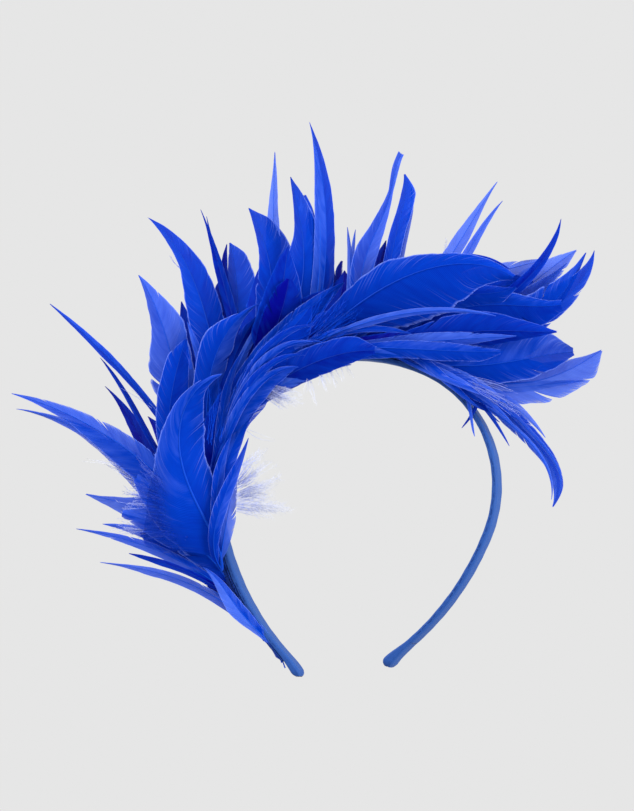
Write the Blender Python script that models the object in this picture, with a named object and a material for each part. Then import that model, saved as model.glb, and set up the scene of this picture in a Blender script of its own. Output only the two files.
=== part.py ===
"""Feather fascinator: a narrow covered head band with a spray of feathers along its crown and left.

Metres, +Z up. The band lies in the XZ plane, its inner face touches the head at the origin, the
crown, and the front of the wearer's head is at -Y. A feather is charted by where it shows from
the front right: millimetres right of and above the crown there, and millimetres in front of the
band's plane.
"""

from math import cos, pi, radians, sin
from typing import NamedTuple

import bpy
import bmesh
from mathutils import Matrix, Vector

MM = 0.001

# The band: a strip of constant section along tangent arcs on each side of the crown, whose last
# stretch turns out a little.
BAND_WIDE = 8.0
BAND_THICK = 2.4
BAND_ARCS = ((81.0, 28.3), (50.7, 75.5))  # radius and length, from the crown
LEG_RADIUS = 112.0
TIP_RADIUS = -60.0  # minus, as it turns the other way
TIP_LONG = 14.0
LEFT_END = -187.0  # mm along the inner face from the crown, left is minus
RIGHT_END = 172.0
BAND_STEP = 6.5
BAND_STEP_LEAST = 1.0
EDGE_ROUND = 3.0  # exponent of the section's rounded edges
SECTION_SIDES = 10

# The folded end of the covering: it goes round the tip and lies on the inner face.
FOLD_LONG = 10.0
FOLD_PEAK = 5.5  # how far from the tip it is thickest
FOLD_THICK = {"left": 1.0, "right": 1.9}
FOLD_START = 0.5
FOLD_LIP = 1.1
FOLD_CORNER = 0.7
FOLD_SIDE = 0.2  # past the band's edge on each side
FOLD_THIN = 0.75  # of its thickness, at those sides

# The gap between pieces that touch.
GAP = 0.3

# The stitched tape that carries the quills, and the glued ridge of quill ends on it.
TAPE_START = -178.0
TAPE_END = 46.0
TAPE_WIDE = 7.6
TAPE_THICK = 0.9
RIDGE_START = -166.0
RIDGE_END = 40.0
RIDGE_WIDE = 7.4
RIDGE_HIGH = 2.2
RIDGE_END_HIGH = 0.6
RIDGE_TAPER = 28.0
ROOT_SPREAD = 3.2  # how far forward of the band's middle a quill may be rooted
ROOT_SHARE = 0.33  # of the distance that its bend lies in front

# The view that the feathers are charted from.
VIEW_AZIMUTH = 22.1
VIEW_ELEVATION = -4.0
VIEW_ROLL = 7.6
VIEW_DISTANCE = 1100.0
VIEW_TARGET = (-21.3, 0.0, -20.8)

# A feather's solid: a blade, thick along the shaft and thin at both edges.
SHAFT_THICK = 1.3
EDGE_THICK = 0.5
QUILL_HALF = 0.8
TIP_HALF = 0.45
QUILL_SHARE = 0.10
VANE_RISE = 0.34
VANE_FULL = 0.52
CUP = 0.16  # sag of an edge, per width of its vane
SHAFT_TAPER = 0.45  # of the shaft's thickness, lost by the tip
CUTTER_UNDER = 0.02  # how far the cut that keeps the band clear stays under the ridge
STATIONS = 7
NARROW_STATIONS = 6
NARROW_WIDE = 7.0
SHARP_ANGLE = 35.0  # degrees, above which an edge is shaded sharp


class Feather(NamedTuple):
    """One feather: its seat along the band, a point half way, its tip, and the widths of its vanes.

    bend and tip are (right, up, front) in mm from the crown, as seen from the charted view. left
    and right are the vanes' widths on each side of the shaft, looking from the root to the tip.
    """

    name: str
    seat: float
    bend: tuple
    tip: tuple
    left: float
    right: float
    roll: float
    point: float


FEATHERS = (
    # Left fan, from the top down.
    Feather("left_long", -105, (-102, -12, 4), (-134, 24, 2), 3.0, 3.5, 20, 1.2),
    Feather("left_dark", -110, (-93, -33, -8), (-111, -10, -12), 1.8, 2.2, -20, 1.2),
    Feather("left_great", -112, (-112, -28, 6), (-150, -13, 4), 4.5, 5.0, 15, 1.1),
    Feather("left_second", -116, (-112, -36, 0), (-148, -20, -6), 4.0, 5.5, -15, 1.2),
    Feather("left_middle", -120, (-93, -60, -4), (-119, -55, -10), 9.0, 5.0, -20, 1.0),
    Feather("left_under", -125, (-88, -72, 2), (-112, -68, -3), 3.0, 3.5, 10, 1.2),
    Feather("left_low", -135, (-90, -79, 8), (-123, -70, 6), 2.5, 2.5, 20, 1.3),
    Feather("left_barb", -138, (-80, -86, 10), (-101, -80, 12), 1.3, 1.5, 0, 1.4),
    Feather("leg_long", -163, (-70, -92, 4), (-113, -84, 6), 2.5, 3.2, 10, 1.2),
    Feather("leg_near", -160, (-61, -94, 6), (-76, -83, 9), 1.8, 1.8, 30, 1.2),
    # The broad front feathers of the left side.
    Feather("front_great", -132, (-79, -39, 22), (-62, -5, 24), 13.0, 10.0, 5, 0.9),
    Feather("front_spike", -122, (-59, -52, 18), (-51, -32, 20), 1.8, 1.8, 0, 1.3),
    Feather("front_small", -120, (-63, -50, 17), (-66, -32, 18), 3.0, 3.0, 15, 1.1),
    Feather("inner_vane", -118, (-61, -46, 15), (-47, -19, 14), 3.5, 3.5, -10, 1.2),
    Feather("round_left", -105, (-81, -16, 13), (-77, 10, 12), 8.0, 6.5, 10, 0.7),
    Feather("pale_left", -90, (-83, 2, 3), (-97, 36, 0), 11.0, 6.0, -15, 0.9),
    Feather("brow_broad", -85, (-64, 5, 9), (-48, 24, 6), 8.0, 6.5, 10, 1.0),
    Feather("brow_slender", -75, (-53, 5, 4), (-41, 26, 0), 4.0, 3.0, 25, 1.1),
    Feather("fern_great", -90, (-47, 1, 17), (-28, 24, 15), 5.0, 10.0, -10, 1.0),
    Feather("fern_slender", -100, (-59, -14, 14), (-51, 8, 15), 2.5, 2.5, 10, 1.2),
    # The upright ones, from left to right.
    Feather("up_left", -64, (-70, 28, -4), (-93, 60, -10), 5.0, 5.0, 30, 1.1),
    Feather("up_thin", -58, (-62, 30, -10), (-71, 63, -20), 1.6, 1.6, 40, 1.4),
    Feather("up_dark", -55, (-55, 17, -13), (-59, 50, -24), 5.0, 5.0, -30, 1.0),
    Feather("up_broad", -46, (-43, 30, -6), (-51, 64, -12), 7.0, 7.5, 20, 0.9),
    Feather("up_pale", -46, (-40, 42, -12), (-40, 87, -24), 3.0, 2.4, -35, 1.3),
    Feather("up_second", -37, (-29, 42, -4), (-33, 77, -8), 6.0, 6.5, -20, 1.0),
    Feather("up_tall", -28, (-20, 53, -9), (-25, 100, -16), 3.8, 4.2, 30, 1.2),
    Feather("up_forked", -14, (-9, 30, -12), (-9, 55, -18), 2.0, 2.0, 0, 1.1),
    Feather("up_twisted", -8, (2, 52, -8), (13, 87, -18), 3.0, 3.0, 50, 1.2),
    Feather("up_folded", -4, (7, 40, -14), (15, 78, -28), 3.5, 6.0, -30, 0.8),
    Feather("up_right", 4, (34, 43, -10), (53, 75, -16), 2.8, 3.3, 30, 1.2),
    Feather("up_right_low", 8, (36, 37, -16), (55, 67, -28), 3.0, 3.3, -25, 1.2),
    # The sweep to the right over the crown.
    Feather("sweep_great", -24, (16, 36, 2), (60, 31, 0), 9.0, 9.0, 10, 1.0),
    Feather("sweep_light", -24, (14, 20, 15), (52, 18, 20), 2.0, 2.0, 0, 1.2),
    Feather("sweep_short", -45, (-10, 11, 12), (17, 12, 15), 3.0, 4.0, 15, 1.0),
    Feather("sweep_brow", -62, (-32, 17, 8), (-11, 33, 4), 3.0, 4.5, 20, 1.1),
    Feather("sweep_dark", -58, (-21, 4, 8), (-1, 5, 9), 7.0, 6.5, 5, 0.6),
    Feather("sweep_edge", -68, (-40, -10, 13), (-3, -1, 11), 4.0, 4.0, -5, 1.2),
    Feather("crown_front", -10, (25, 5, 13), (54, 4, 17), 3.5, 4.0, 10, 1.0),
    Feather("crown_ridge", -14, (33, 13, 9), (78, 13, 12), 8.5, 6.0, 15, 1.0),
    Feather("crown_blue", 0, (46, 0, 6), (84, 4, 5), 8.5, 9.0, 5, 0.55),
    Feather("crown_top", 4, (42, 24, -3), (81, 23, -6), 5.0, 8.0, -10, 0.9),
    Feather("crown_pale", 14, (46, 32, -9), (72, 44, -16), 4.0, 4.0, -20, 1.1),
    Feather("right_hook", 26, (60, 27, -7), (79, 59, -14), 2.6, 2.8, 30, 1.3),
    Feather("right_pale", 22, (63, 26, -12), (86, 46, -22), 3.0, 3.0, -20, 1.1),
    Feather("right_thin", 28, (67, 25, -16), (90, 45, -30), 3.0, 3.0, 20, 1.1),
    Feather("right_bent", 30, (75, 18, -9), (93, 47, -12), 4.2, 4.5, 20, 1.1),
    Feather("right_low", 20, (63, -10, 0), (96, 5, -3), 6.5, 6.5, -10, 1.0),
    Feather("shoulder", 6, (35, -6, 9), (59, -20, 8), 4.0, 4.0, 10, 1.1),
    Feather("shoulder_near", -2, (25, 0, 11), (46, -19, 9), 3.0, 3.0, 10, 1.2),
    Feather("tail", 28, (67, -28, -3), (76, -61, -6), 4.8, 3.2, 15, 1.1),
    # The under layer, which closes the gaps between the others.
    Feather("under_low", -128, (-75, -60, -6), (-93, -48, -9), 9.0, 8.0, -10, 0.8),
    Feather("under_left", -115, (-80, -37, 2), (-93, -16, 0), 9.0, 9.0, 10, 0.8),
    Feather("under_pale", -100, (-74, -4, -4), (-76, 18, -8), 9.0, 9.0, -10, 0.8),
    Feather("under_dark", -80, (-61, 21, -14), (-60, 44, -22), 8.0, 8.0, 15, 0.8),
    Feather("under_brow", -60, (-46, 21, -10), (-46, 46, -17), 9.0, 9.0, -15, 0.8),
    Feather("under_second", -45, (-30, 26, -10), (-22, 50, -17), 9.0, 9.0, 15, 0.8),
    Feather("under_sweep", -55, (-36, 11, 2), (-17, 30, 0), 7.0, 7.0, 10, 0.9),
    Feather("under_forked", -30, (-15, 21, -8), (-9, 39, -14), 9.0, 9.0, -15, 0.8),
    Feather("under_crown", -40, (-17, 15, 4), (12, 21, 2), 7.0, 7.0, 15, 0.9),
    Feather("under_top", -16, (2, 26, -8), (10, 42, -15), 9.0, 9.0, 15, 0.8),
    Feather("under_fold", -5, (17, 26, -10), (31, 41, -18), 9.0, 9.0, -15, 0.8),
    Feather("under_right", 8, (33, 26, -10), (50, 38, -15), 8.0, 8.0, 15, 0.8),
    Feather("under_blue", 10, (29, 9, 1), (54, 15, 2), 8.0, 8.0, -10, 0.9),
    Feather("under_bent", 18, (46, 13, -10), (69, 29, -16), 8.0, 8.0, 10, 0.8),
    Feather("under_shoulder", 26, (50, 3, -6), (75, 12, -11), 8.0, 8.0, -10, 0.8),
    # Short ones that lean back.
    Feather("rear_left", -115, (-75, -45, -18), (-88, -35, -38), 7.0, 7.0, 30, 0.9),
    Feather("rear_brow", -88, (-66, 0, -20), (-68, 14, -42), 7.0, 7.0, -30, 0.9),
    Feather("rear_dark", -66, (-50, 15, -22), (-46, 32, -44), 7.0, 7.0, 30, 0.9),
    Feather("rear_second", -48, (-30, 20, -22), (-24, 40, -46), 7.0, 7.0, -30, 0.9),
    Feather("rear_top", -22, (-5, 20, -20), (4, 34, -42), 7.0, 7.0, 30, 0.9),
    Feather("rear_fold", -2, (18, 18, -22), (30, 32, -42), 7.0, 7.0, -30, 0.9),
    Feather("rear_blue", 16, (42, 10, -20), (60, 20, -40), 7.0, 7.0, 25, 0.9),
    Feather("rear_shoulder", 30, (52, -2, -14), (72, 0, -30), 6.0, 6.0, -25, 0.9),
)

COLOURS = {
    "satin_band": ((0.075, 0.18, 0.53, 1.0), 0.5),
    "tip_fold_left": ((0.075, 0.18, 0.53, 1.0), 0.55),
    "tip_fold_right": ((0.075, 0.18, 0.53, 1.0), 0.55),
    "quill_tape": ((0.01, 0.02, 0.12, 1.0), 0.8),
    "feather_crest": ((0.012, 0.06, 0.62, 1.0), 0.55),
}


def clear_scene():
    """Removes whatever the scene holds."""
    for old in list(bpy.data.objects):
        bpy.data.objects.remove(old, do_unlink=True)


def satin(name):
    """The node's own material, in the colour that the photograph shows."""
    colour, rough = COLOURS[name]
    material = bpy.data.materials.new(name)
    material.use_nodes = True
    shader = material.node_tree.nodes["Principled BSDF"]
    shader.inputs["Base Color"].default_value = colour
    shader.inputs["Roughness"].default_value = rough
    shader.inputs["Metallic"].default_value = 0.0
    return material


def mesh_object(name, points, faces):
    """An object whose faces point out, from points in mm."""
    mesh = bpy.data.meshes.new(name)
    mesh.from_pydata([Vector(p) * MM for p in points], [], faces)
    made = bmesh.new()
    made.from_mesh(mesh)
    bmesh.ops.recalc_face_normals(made, faces=made.faces)
    made.to_mesh(mesh)
    made.free()
    obj = bpy.data.objects.new(name, mesh)
    bpy.context.scene.collection.objects.link(obj)
    return obj


def loft(name, rings):
    """A closed skin through rings of equally many points, with a flat cap on each end."""
    sides = len(rings[0])
    points = [point for ring in rings for point in ring]
    faces = [
        (row + side, row + (side + 1) % sides, row + sides + (side + 1) % sides, row + sides + side)
        for row in range(0, (len(rings) - 1) * sides, sides)
        for side in range(sides)
    ]
    faces.append(tuple(range(sides))[::-1])
    faces.append(tuple(range(len(points) - sides, len(points))))
    return mesh_object(name, points, faces)


def band_frame(along):
    """The point on the inner face that far from the crown, and the outward normal there."""
    side = -1.0 if along < 0 else 1.0
    end = -LEFT_END if along < 0 else RIGHT_END
    leg = end - TIP_LONG - sum(length for radius, length in BAND_ARCS)
    left = abs(along)
    heading = 0.0
    point = Vector((0.0, 0.0, 0.0))
    for radius, length in (*BAND_ARCS, (LEG_RADIUS, leg), (TIP_RADIUS, 2 * TIP_LONG)):
        centre = point - radius * Vector((sin(heading), 0.0, cos(heading)))
        heading += min(left, length) / radius
        point = centre + radius * Vector((sin(heading), 0.0, cos(heading)))
        left -= length
        if left <= 0:
            break
    return Vector((side * point.x, 0.0, point.z)), Vector((side * sin(heading), 0.0, cos(heading)))


def on_band(along, out, forward=0.0):
    """A point out from the inner face and forward of the band's middle."""
    point, normal = band_frame(along)
    return point + out * normal + Vector((0.0, -forward, 0.0))


def stations(start, end):
    """Places along the band, one on each multiple of the step, so that layers stay parallel."""
    first = int(start // BAND_STEP) + 1
    last = int(-(-end // BAND_STEP)) - 1
    inner = [index * BAND_STEP for index in range(first, last + 1)]
    inner = [along for along in inner if start + BAND_STEP_LEAST < along < end - BAND_STEP_LEAST]
    return [start, *inner, end]


def rounded_ring(along, low, high, wide):
    """A section with rounded edges across the band, between two heights."""
    ring = []
    for side in range(SECTION_SIDES):
        angle = 2 * pi * (side + 0.5) / SECTION_SIDES
        across, up = cos(angle), sin(angle)
        reach = (abs(across) ** EDGE_ROUND + abs(up) ** EDGE_ROUND) ** (-1 / EDGE_ROUND)
        middle, half = (low + high) / 2, (high - low) / 2
        ring.append(on_band(along, middle + half * up * reach, wide / 2 * across * reach))
    return ring


def flat_ring(along, low, high, wide):
    """A plain four-sided section across the band, between two heights."""
    half = wide / 2
    corners = ((low, -half), (high, -half), (high, half), (low, half))
    return [on_band(along, out, forward) for out, forward in corners]


def build_band():
    """The covered band, one horseshoe."""
    places = stations(LEFT_END, RIGHT_END)
    return loft("satin_band", [rounded_ring(along, 0.0, BAND_THICK, BAND_WIDE) for along in places])


def build_tip_fold(hand, end):
    """The covering's end, folded round the tip and laid on the inner face."""
    away = -1.0 if end < 0 else 1.0
    deep = -GAP - FOLD_THICK[hand]
    profile = (
        (-FOLD_LONG, -GAP),
        (-FOLD_LONG, -GAP - FOLD_START),
        (-FOLD_PEAK, deep),
        (GAP, deep),
        (GAP + FOLD_LIP, deep + FOLD_CORNER),
        (GAP + FOLD_LIP, BAND_THICK - FOLD_CORNER),
        (GAP + FOLD_LIP - FOLD_CORNER, BAND_THICK),
        (GAP, BAND_THICK),
        (GAP, -GAP),
    )
    half = BAND_WIDE / 2 + FOLD_SIDE
    inner = half - FOLD_CORNER
    rings = []
    for forward, share in ((-half, FOLD_THIN), (-inner, 1.0), (inner, 1.0), (half, FOLD_THIN)):
        ring = []
        for along, out in profile:
            thin = -GAP + (out + GAP) * share if out < -GAP else out
            ring.append(on_band(end + away * along, thin, forward))
        rings.append(ring)
    return loft(f"tip_fold_{hand}", rings)


def build_tape():
    """The tape along the outer face."""
    low = BAND_THICK + GAP
    rings = []
    for along in stations(TAPE_START, TAPE_END):
        rings.append(flat_ring(along, low, low + TAPE_THICK, TAPE_WIDE))
    return loft("quill_tape", rings)


def ridge_height(along):
    """How high the ridge of quill ends stands there."""
    near = min(along - RIDGE_START, RIDGE_END - along) / RIDGE_TAPER
    return RIDGE_END_HIGH + (RIDGE_HIGH - RIDGE_END_HIGH) * max(0.0, min(1.0, near))


def build_ridge():
    """The ridge of glued quill ends, which the feathers are fused to."""
    low = BAND_THICK + TAPE_THICK + 2 * GAP
    rings = []
    for along in stations(RIDGE_START, RIDGE_END):
        rings.append(rounded_ring(along, low, low + ridge_height(along), RIDGE_WIDE))
    return loft("ridge", rings)


class View:
    """The charted view: from it, a place in the picture and a distance in front give a point."""

    def __init__(self):
        """Works out the picture's right, up and towards directions, and where the eye is."""
        turn, tilt, roll = radians(VIEW_AZIMUTH), radians(VIEW_ELEVATION), radians(VIEW_ROLL)
        level = Vector((cos(turn), sin(turn), 0.0))
        rise = Vector((-sin(turn) * sin(tilt), cos(turn) * sin(tilt), cos(tilt)))
        self.right = level * cos(roll) + rise * sin(roll)
        self.up = rise * cos(roll) - level * sin(roll)
        self.towards = self.right.cross(self.up)
        self.eye = Vector(VIEW_TARGET) + self.towards * VIEW_DISTANCE

    def place(self, right, up, front):
        """The point that shows at right and up of the crown and lies front of the band's plane."""
        ray = self.right * right + self.up * up - self.eye
        return self.eye + ray * ((-front - self.eye.y) / ray.y)


def smooth(low, high, value):
    """0 below low, 1 above high, and an S between them."""
    share = max(0.0, min(1.0, (value - low) / (high - low)))
    return share * share * (3 - 2 * share)


def vane_share(along, point):
    """The vane's width at a share of the feather's length, as a share of its full width."""
    rise = smooth(QUILL_SHARE, QUILL_SHARE + VANE_RISE, along)
    past = max(0.0, (along - VANE_FULL) / (1 - VANE_FULL))
    return rise * max(0.0, cos(pi / 2 * past)) ** point


def spine(feather, view):
    """The shaft's three control points: the root, the pull, and the tip."""
    high = BAND_THICK + TAPE_THICK + 2 * GAP + ridge_height(feather.seat) / 2
    forward = max(-ROOT_SPREAD, min(ROOT_SPREAD, feather.bend[2] * ROOT_SHARE))
    root = on_band(feather.seat, high, forward)
    bend = view.place(*feather.bend)
    tip = view.place(*feather.tip)
    return root, bend * 2 - (root + tip) / 2, tip


def blade_ring(feather, view, share):
    """The six-sided section of a feather's solid at a share of its length."""
    root, pull, tip = spine(feather, view)
    point = root * (1 - share) ** 2 + pull * 2 * share * (1 - share) + tip * share**2
    tangent = ((pull - root) * (1 - share) + (tip - pull) * share).normalized()
    across = view.towards.cross(tangent).normalized()
    across = Matrix.Rotation(radians(feather.roll) * share, 3, tangent) @ across
    normal = across.cross(tangent).normalized()
    if normal.dot(view.towards) < 0:
        normal = -normal
    full = vane_share(share, feather.point)
    least = QUILL_HALF + (TIP_HALF - QUILL_HALF) * share
    ring = []
    for wide, sign in ((feather.left, 1), (feather.right, -1)):
        reach = max(least, wide * full)
        sag = normal * -CUP * max(0.0, reach - least)
        edge = point + across * (reach * sign) + sag
        top, low = edge + normal * (EDGE_THICK / 2), edge - normal * (EDGE_THICK / 2)
        ring.extend((top, low) if sign > 0 else (low, top))
    shaft = normal * (SHAFT_THICK / 2 * (1 - SHAFT_TAPER * share))
    return [ring[0], ring[1], point - shaft, ring[2], ring[3], point + shaft]


def build_blade(feather, view):
    """A feather's solid, from inside the ridge to its tip."""
    count = NARROW_STATIONS if feather.left + feather.right < NARROW_WIDE else STATIONS
    rings = [blade_ring(feather, view, index / (count - 1)) for index in range(count)]
    return loft(feather.name, rings)


def build_keep_clear():
    """The room of the band and the tape, which the spray keeps clear of."""
    high = BAND_THICK + TAPE_THICK + 2 * GAP - CUTTER_UNDER
    wide = BAND_WIDE + 2 * GAP
    rings = [flat_ring(along, -GAP, high, wide) for along in stations(LEFT_END, RIGHT_END)]
    return loft("keep_clear", rings)


def combine(base, tool, operation):
    """Adds the tool to the base, or cuts it from the base, and deletes the tool."""
    tool.hide_render = True
    tool.display_type = "WIRE"
    modifier = base.modifiers.new(tool.name, "BOOLEAN")
    modifier.operation = operation
    modifier.solver = "EXACT"
    modifier.object = tool
    graph = bpy.context.evaluated_depsgraph_get()
    mesh = bpy.data.meshes.new_from_object(base.evaluated_get(graph))
    base.modifiers.clear()
    base.data = mesh
    bpy.data.objects.remove(tool, do_unlink=True)


def build_crest():
    """The spray: every feather's blade fused to the ridge of quill ends."""
    crest = build_ridge()
    view = View()
    for feather in FEATHERS:
        combine(crest, build_blade(feather, view), "UNION")
    combine(crest, build_keep_clear(), "DIFFERENCE")
    crest.name = "feather_crest"
    crest.data.name = "feather_crest"
    return crest


def finish(obj):
    """Gives a piece its material and smooth shading over its round stretches."""
    obj.data.materials.clear()
    obj.data.materials.append(satin(obj.name))
    obj.data.shade_smooth()
    obj.data.set_sharp_from_angle(angle=radians(SHARP_ANGLE))


def main():
    """Builds the five pieces."""
    clear_scene()
    pieces = [
        build_band(),
        build_tip_fold("left", LEFT_END),
        build_tip_fold("right", RIGHT_END),
        build_tape(),
        build_crest(),
    ]
    for piece in pieces:
        finish(piece)


main()
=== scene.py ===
"""The looks of a feather fascinator on a narrow covered band.

Metres, +Z up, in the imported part's frame. Sizes in the fields and tables are millimetres. A feather
is charted by where it shows from the front right: right of and above the crown, and in front of the
band's plane.
"""

import logging
from dataclasses import dataclass, field
from enum import Enum, IntEnum
from math import cos, pi, radians, sin

import bpy
import numpy as np
from mathutils import Matrix, Vector

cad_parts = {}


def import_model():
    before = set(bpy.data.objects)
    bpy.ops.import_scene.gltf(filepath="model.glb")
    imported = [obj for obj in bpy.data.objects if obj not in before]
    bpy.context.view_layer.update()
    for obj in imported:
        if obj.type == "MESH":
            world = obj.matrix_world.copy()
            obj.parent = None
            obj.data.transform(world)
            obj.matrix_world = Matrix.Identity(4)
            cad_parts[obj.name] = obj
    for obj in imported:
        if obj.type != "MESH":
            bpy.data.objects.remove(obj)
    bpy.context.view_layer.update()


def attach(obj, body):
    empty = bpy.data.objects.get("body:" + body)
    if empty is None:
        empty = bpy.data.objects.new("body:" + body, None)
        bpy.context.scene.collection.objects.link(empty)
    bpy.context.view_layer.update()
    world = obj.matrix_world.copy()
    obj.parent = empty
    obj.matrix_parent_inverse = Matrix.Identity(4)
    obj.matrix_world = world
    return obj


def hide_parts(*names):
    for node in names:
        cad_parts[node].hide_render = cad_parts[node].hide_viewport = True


MM = 0.001
SEED = 20
LOG = logging.getLogger("fascinator")

Colour = tuple[float, float, float, float]
Place = tuple[float, float, float]
Widths = tuple[float, ...]
Numbers = np.ndarray | float


class Wire:
    """A shader socket whose Python operators add Math nodes."""

    def __init__(self, paint: "Paint", socket: bpy.types.NodeSocket) -> None:
        """Wraps a socket of that material."""
        self.paint = paint
        self.socket = socket

    def _math(self, operation: str, first: "Wire | float", second: "Wire | float | None" = None) -> "Wire":
        """Adds one Math node.

        Args:
            operation: the node's operation.
            first: its first value or wire.
            second: its second value or wire, if it has one.

        Returns:
            The node's result.
        """
        values = {0: first} if second is None else {0: first, 1: second}
        return self.paint.add("ShaderNodeMath", {"operation": operation}, values)

    def __add__(self, other: "Wire | float") -> "Wire":
        """Sum."""
        return self._math("ADD", self, other)

    def __radd__(self, other: float) -> "Wire":
        """Sum, the wire second."""
        return self._math("ADD", other, self)

    def __sub__(self, other: "Wire | float") -> "Wire":
        """Difference."""
        return self._math("SUBTRACT", self, other)

    def __rsub__(self, other: float) -> "Wire":
        """Difference, the wire second."""
        return self._math("SUBTRACT", other, self)

    def __mul__(self, other: "Wire | float") -> "Wire":
        """Product."""
        return self._math("MULTIPLY", self, other)

    def __truediv__(self, other: "Wire | float") -> "Wire":
        """Quotient."""
        return self._math("DIVIDE", self, other)

    def __pow__(self, other: "Wire | float") -> "Wire":
        """Power."""
        return self._math("POWER", self, other)

    def wave(self, per_unit: float) -> "Wire":
        """A wave from 0 to 1 along the wire's value, that many to each 1 of it."""
        return self._math("SINE", self * (per_unit * 2 * pi)) * 0.5 + 0.5

    def clamp(self) -> "Wire":
        """Kept from 0 to 1."""
        return self.paint.add("ShaderNodeClamp", {}, {"Value": self}, "Result")

    def smooth(self, low: float, high: float) -> "Wire":
        """0 below low, 1 above high, and an S between them."""
        values = {"Value": self, "From Min": low, "From Max": high, "To Min": 0.0, "To Max": 1.0}
        return self.paint.add("ShaderNodeMapRange", {"interpolation_type": "SMOOTHSTEP"}, values, "Result")


class Paint:
    """A material in the making: adds nodes and joins them."""

    def __init__(self, name: str) -> None:
        """Makes an empty node material.

        Args:
            name: its name.
        """
        self.material = bpy.data.materials.new(name)
        self.material.use_nodes = True
        self.tree = self.material.node_tree
        self.tree.nodes.clear()

    def add(self, kind: str, settings: dict, values: dict, out: int | str = 0) -> Wire:
        """Adds a node.

        Args:
            kind: the node's type.
            settings: its properties, set before its sockets.
            values: numbers, tuples or wires for its sockets, by name or index.
            out: the output wanted, by name or index.

        Returns:
            That output.
        """
        node = self.tree.nodes.new(kind)
        for key, value in settings.items():
            setattr(node, key, value)
        for key, value in values.items():
            if isinstance(value, Wire):
                self.tree.links.new(value.socket, node.inputs[key])
            else:
                node.inputs[key].default_value = value
        return Wire(self, node.outputs[out])

    def carried(self, name: str) -> Wire:
        """What the mesh's points carry under that name."""
        return self.add("ShaderNodeAttribute", {"attribute_name": name}, {}, "Fac")

    def place(self, name: str) -> tuple[Wire, Wire]:
        """Reads a UV map.

        Args:
            name: its name.

        Returns:
            Its two coordinates.
        """
        uv = self.add("ShaderNodeUVMap", {"uv_map": name}, {}, "UV")
        first = self.add("ShaderNodeSeparateXYZ", {}, {0: uv}, "X")
        return first, Wire(self, first.socket.node.outputs["Y"])

    def noise(self, where: Wire, scale: float, detail: float) -> Wire:
        """Noise about 0.5, at a place."""
        return self.add("ShaderNodeTexNoise", {}, {"Vector": where, "Scale": scale, "Detail": detail}, "Fac")

    def blend(self, share: Wire, first: Wire | Colour, second: Wire | Colour) -> Wire:
        """A colour between two colours."""
        settings = {"data_type": "RGBA", "clamp_factor": True}
        return self.add("ShaderNodeMix", settings, {0: share, 6: first, 7: second}, 2)

    def bump(self, height: Wire, strength: float, depth: float) -> Wire:
        """A normal from a height."""
        return self.add("ShaderNodeBump", {}, {"Strength": strength, "Distance": depth, "Height": height})

    def body(self, colour: Wire, rough: Wire | float, gloss: float, **more: Wire) -> Wire:
        """The main shader, of a colour, a roughness and a gloss, with more sockets by name."""
        values = {"Base Color": colour, "Roughness": rough, "Specular IOR Level": gloss, **more}
        return self.add("ShaderNodeBsdfPrincipled", {}, values)

    def lit_through(self, body: Wire, colour: Colour, share: Wire, **more: Wire) -> Wire:
        """A shader that lets light of a colour through, by a share, with more sockets by name."""
        lit = self.add("ShaderNodeBsdfTranslucent", {}, {"Color": colour, **more})
        return self.add("ShaderNodeMixShader", {}, {0: share, 1: body, 2: lit})

    def surface(self, shader: Wire) -> bpy.types.Material:
        """Sends a shader to the material's surface.

        Args:
            shader: the shader.

        Returns:
            The finished material.
        """
        node = self.tree.nodes.new("ShaderNodeOutputMaterial")
        self.tree.links.new(shader.socket, node.inputs["Surface"])
        return self.material


@dataclass(frozen=True)
class Grain:
    """A pattern of noise over a UV map.

    along and across are its cells to each 1 of the map's two coordinates, and detail is how fine it
    is within a cell. slice is where the noise is cut, and slices how far off the next tone's cut is.
    """

    along: float
    across: float
    detail: float
    slice: float = 0.0
    slices: float = 0.0

    def over(self, paint: Paint, along: Wire, across: Wire, tone: Wire | None = None) -> Wire:
        """Lays the pattern over the map.

        Args:
            paint: the material.
            along: the map's first coordinate.
            across: its second one.
            tone: what tells one feather from the next, if anything does.

        Returns:
            The pattern, about 0.5.
        """
        cut = self.slice if tone is None else tone * self.slices + self.slice
        values = {0: along * self.along, 1: across * self.across, 2: cut}
        return paint.noise(paint.add("ShaderNodeCombineXYZ", {}, values), 1.0, self.detail)


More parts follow.
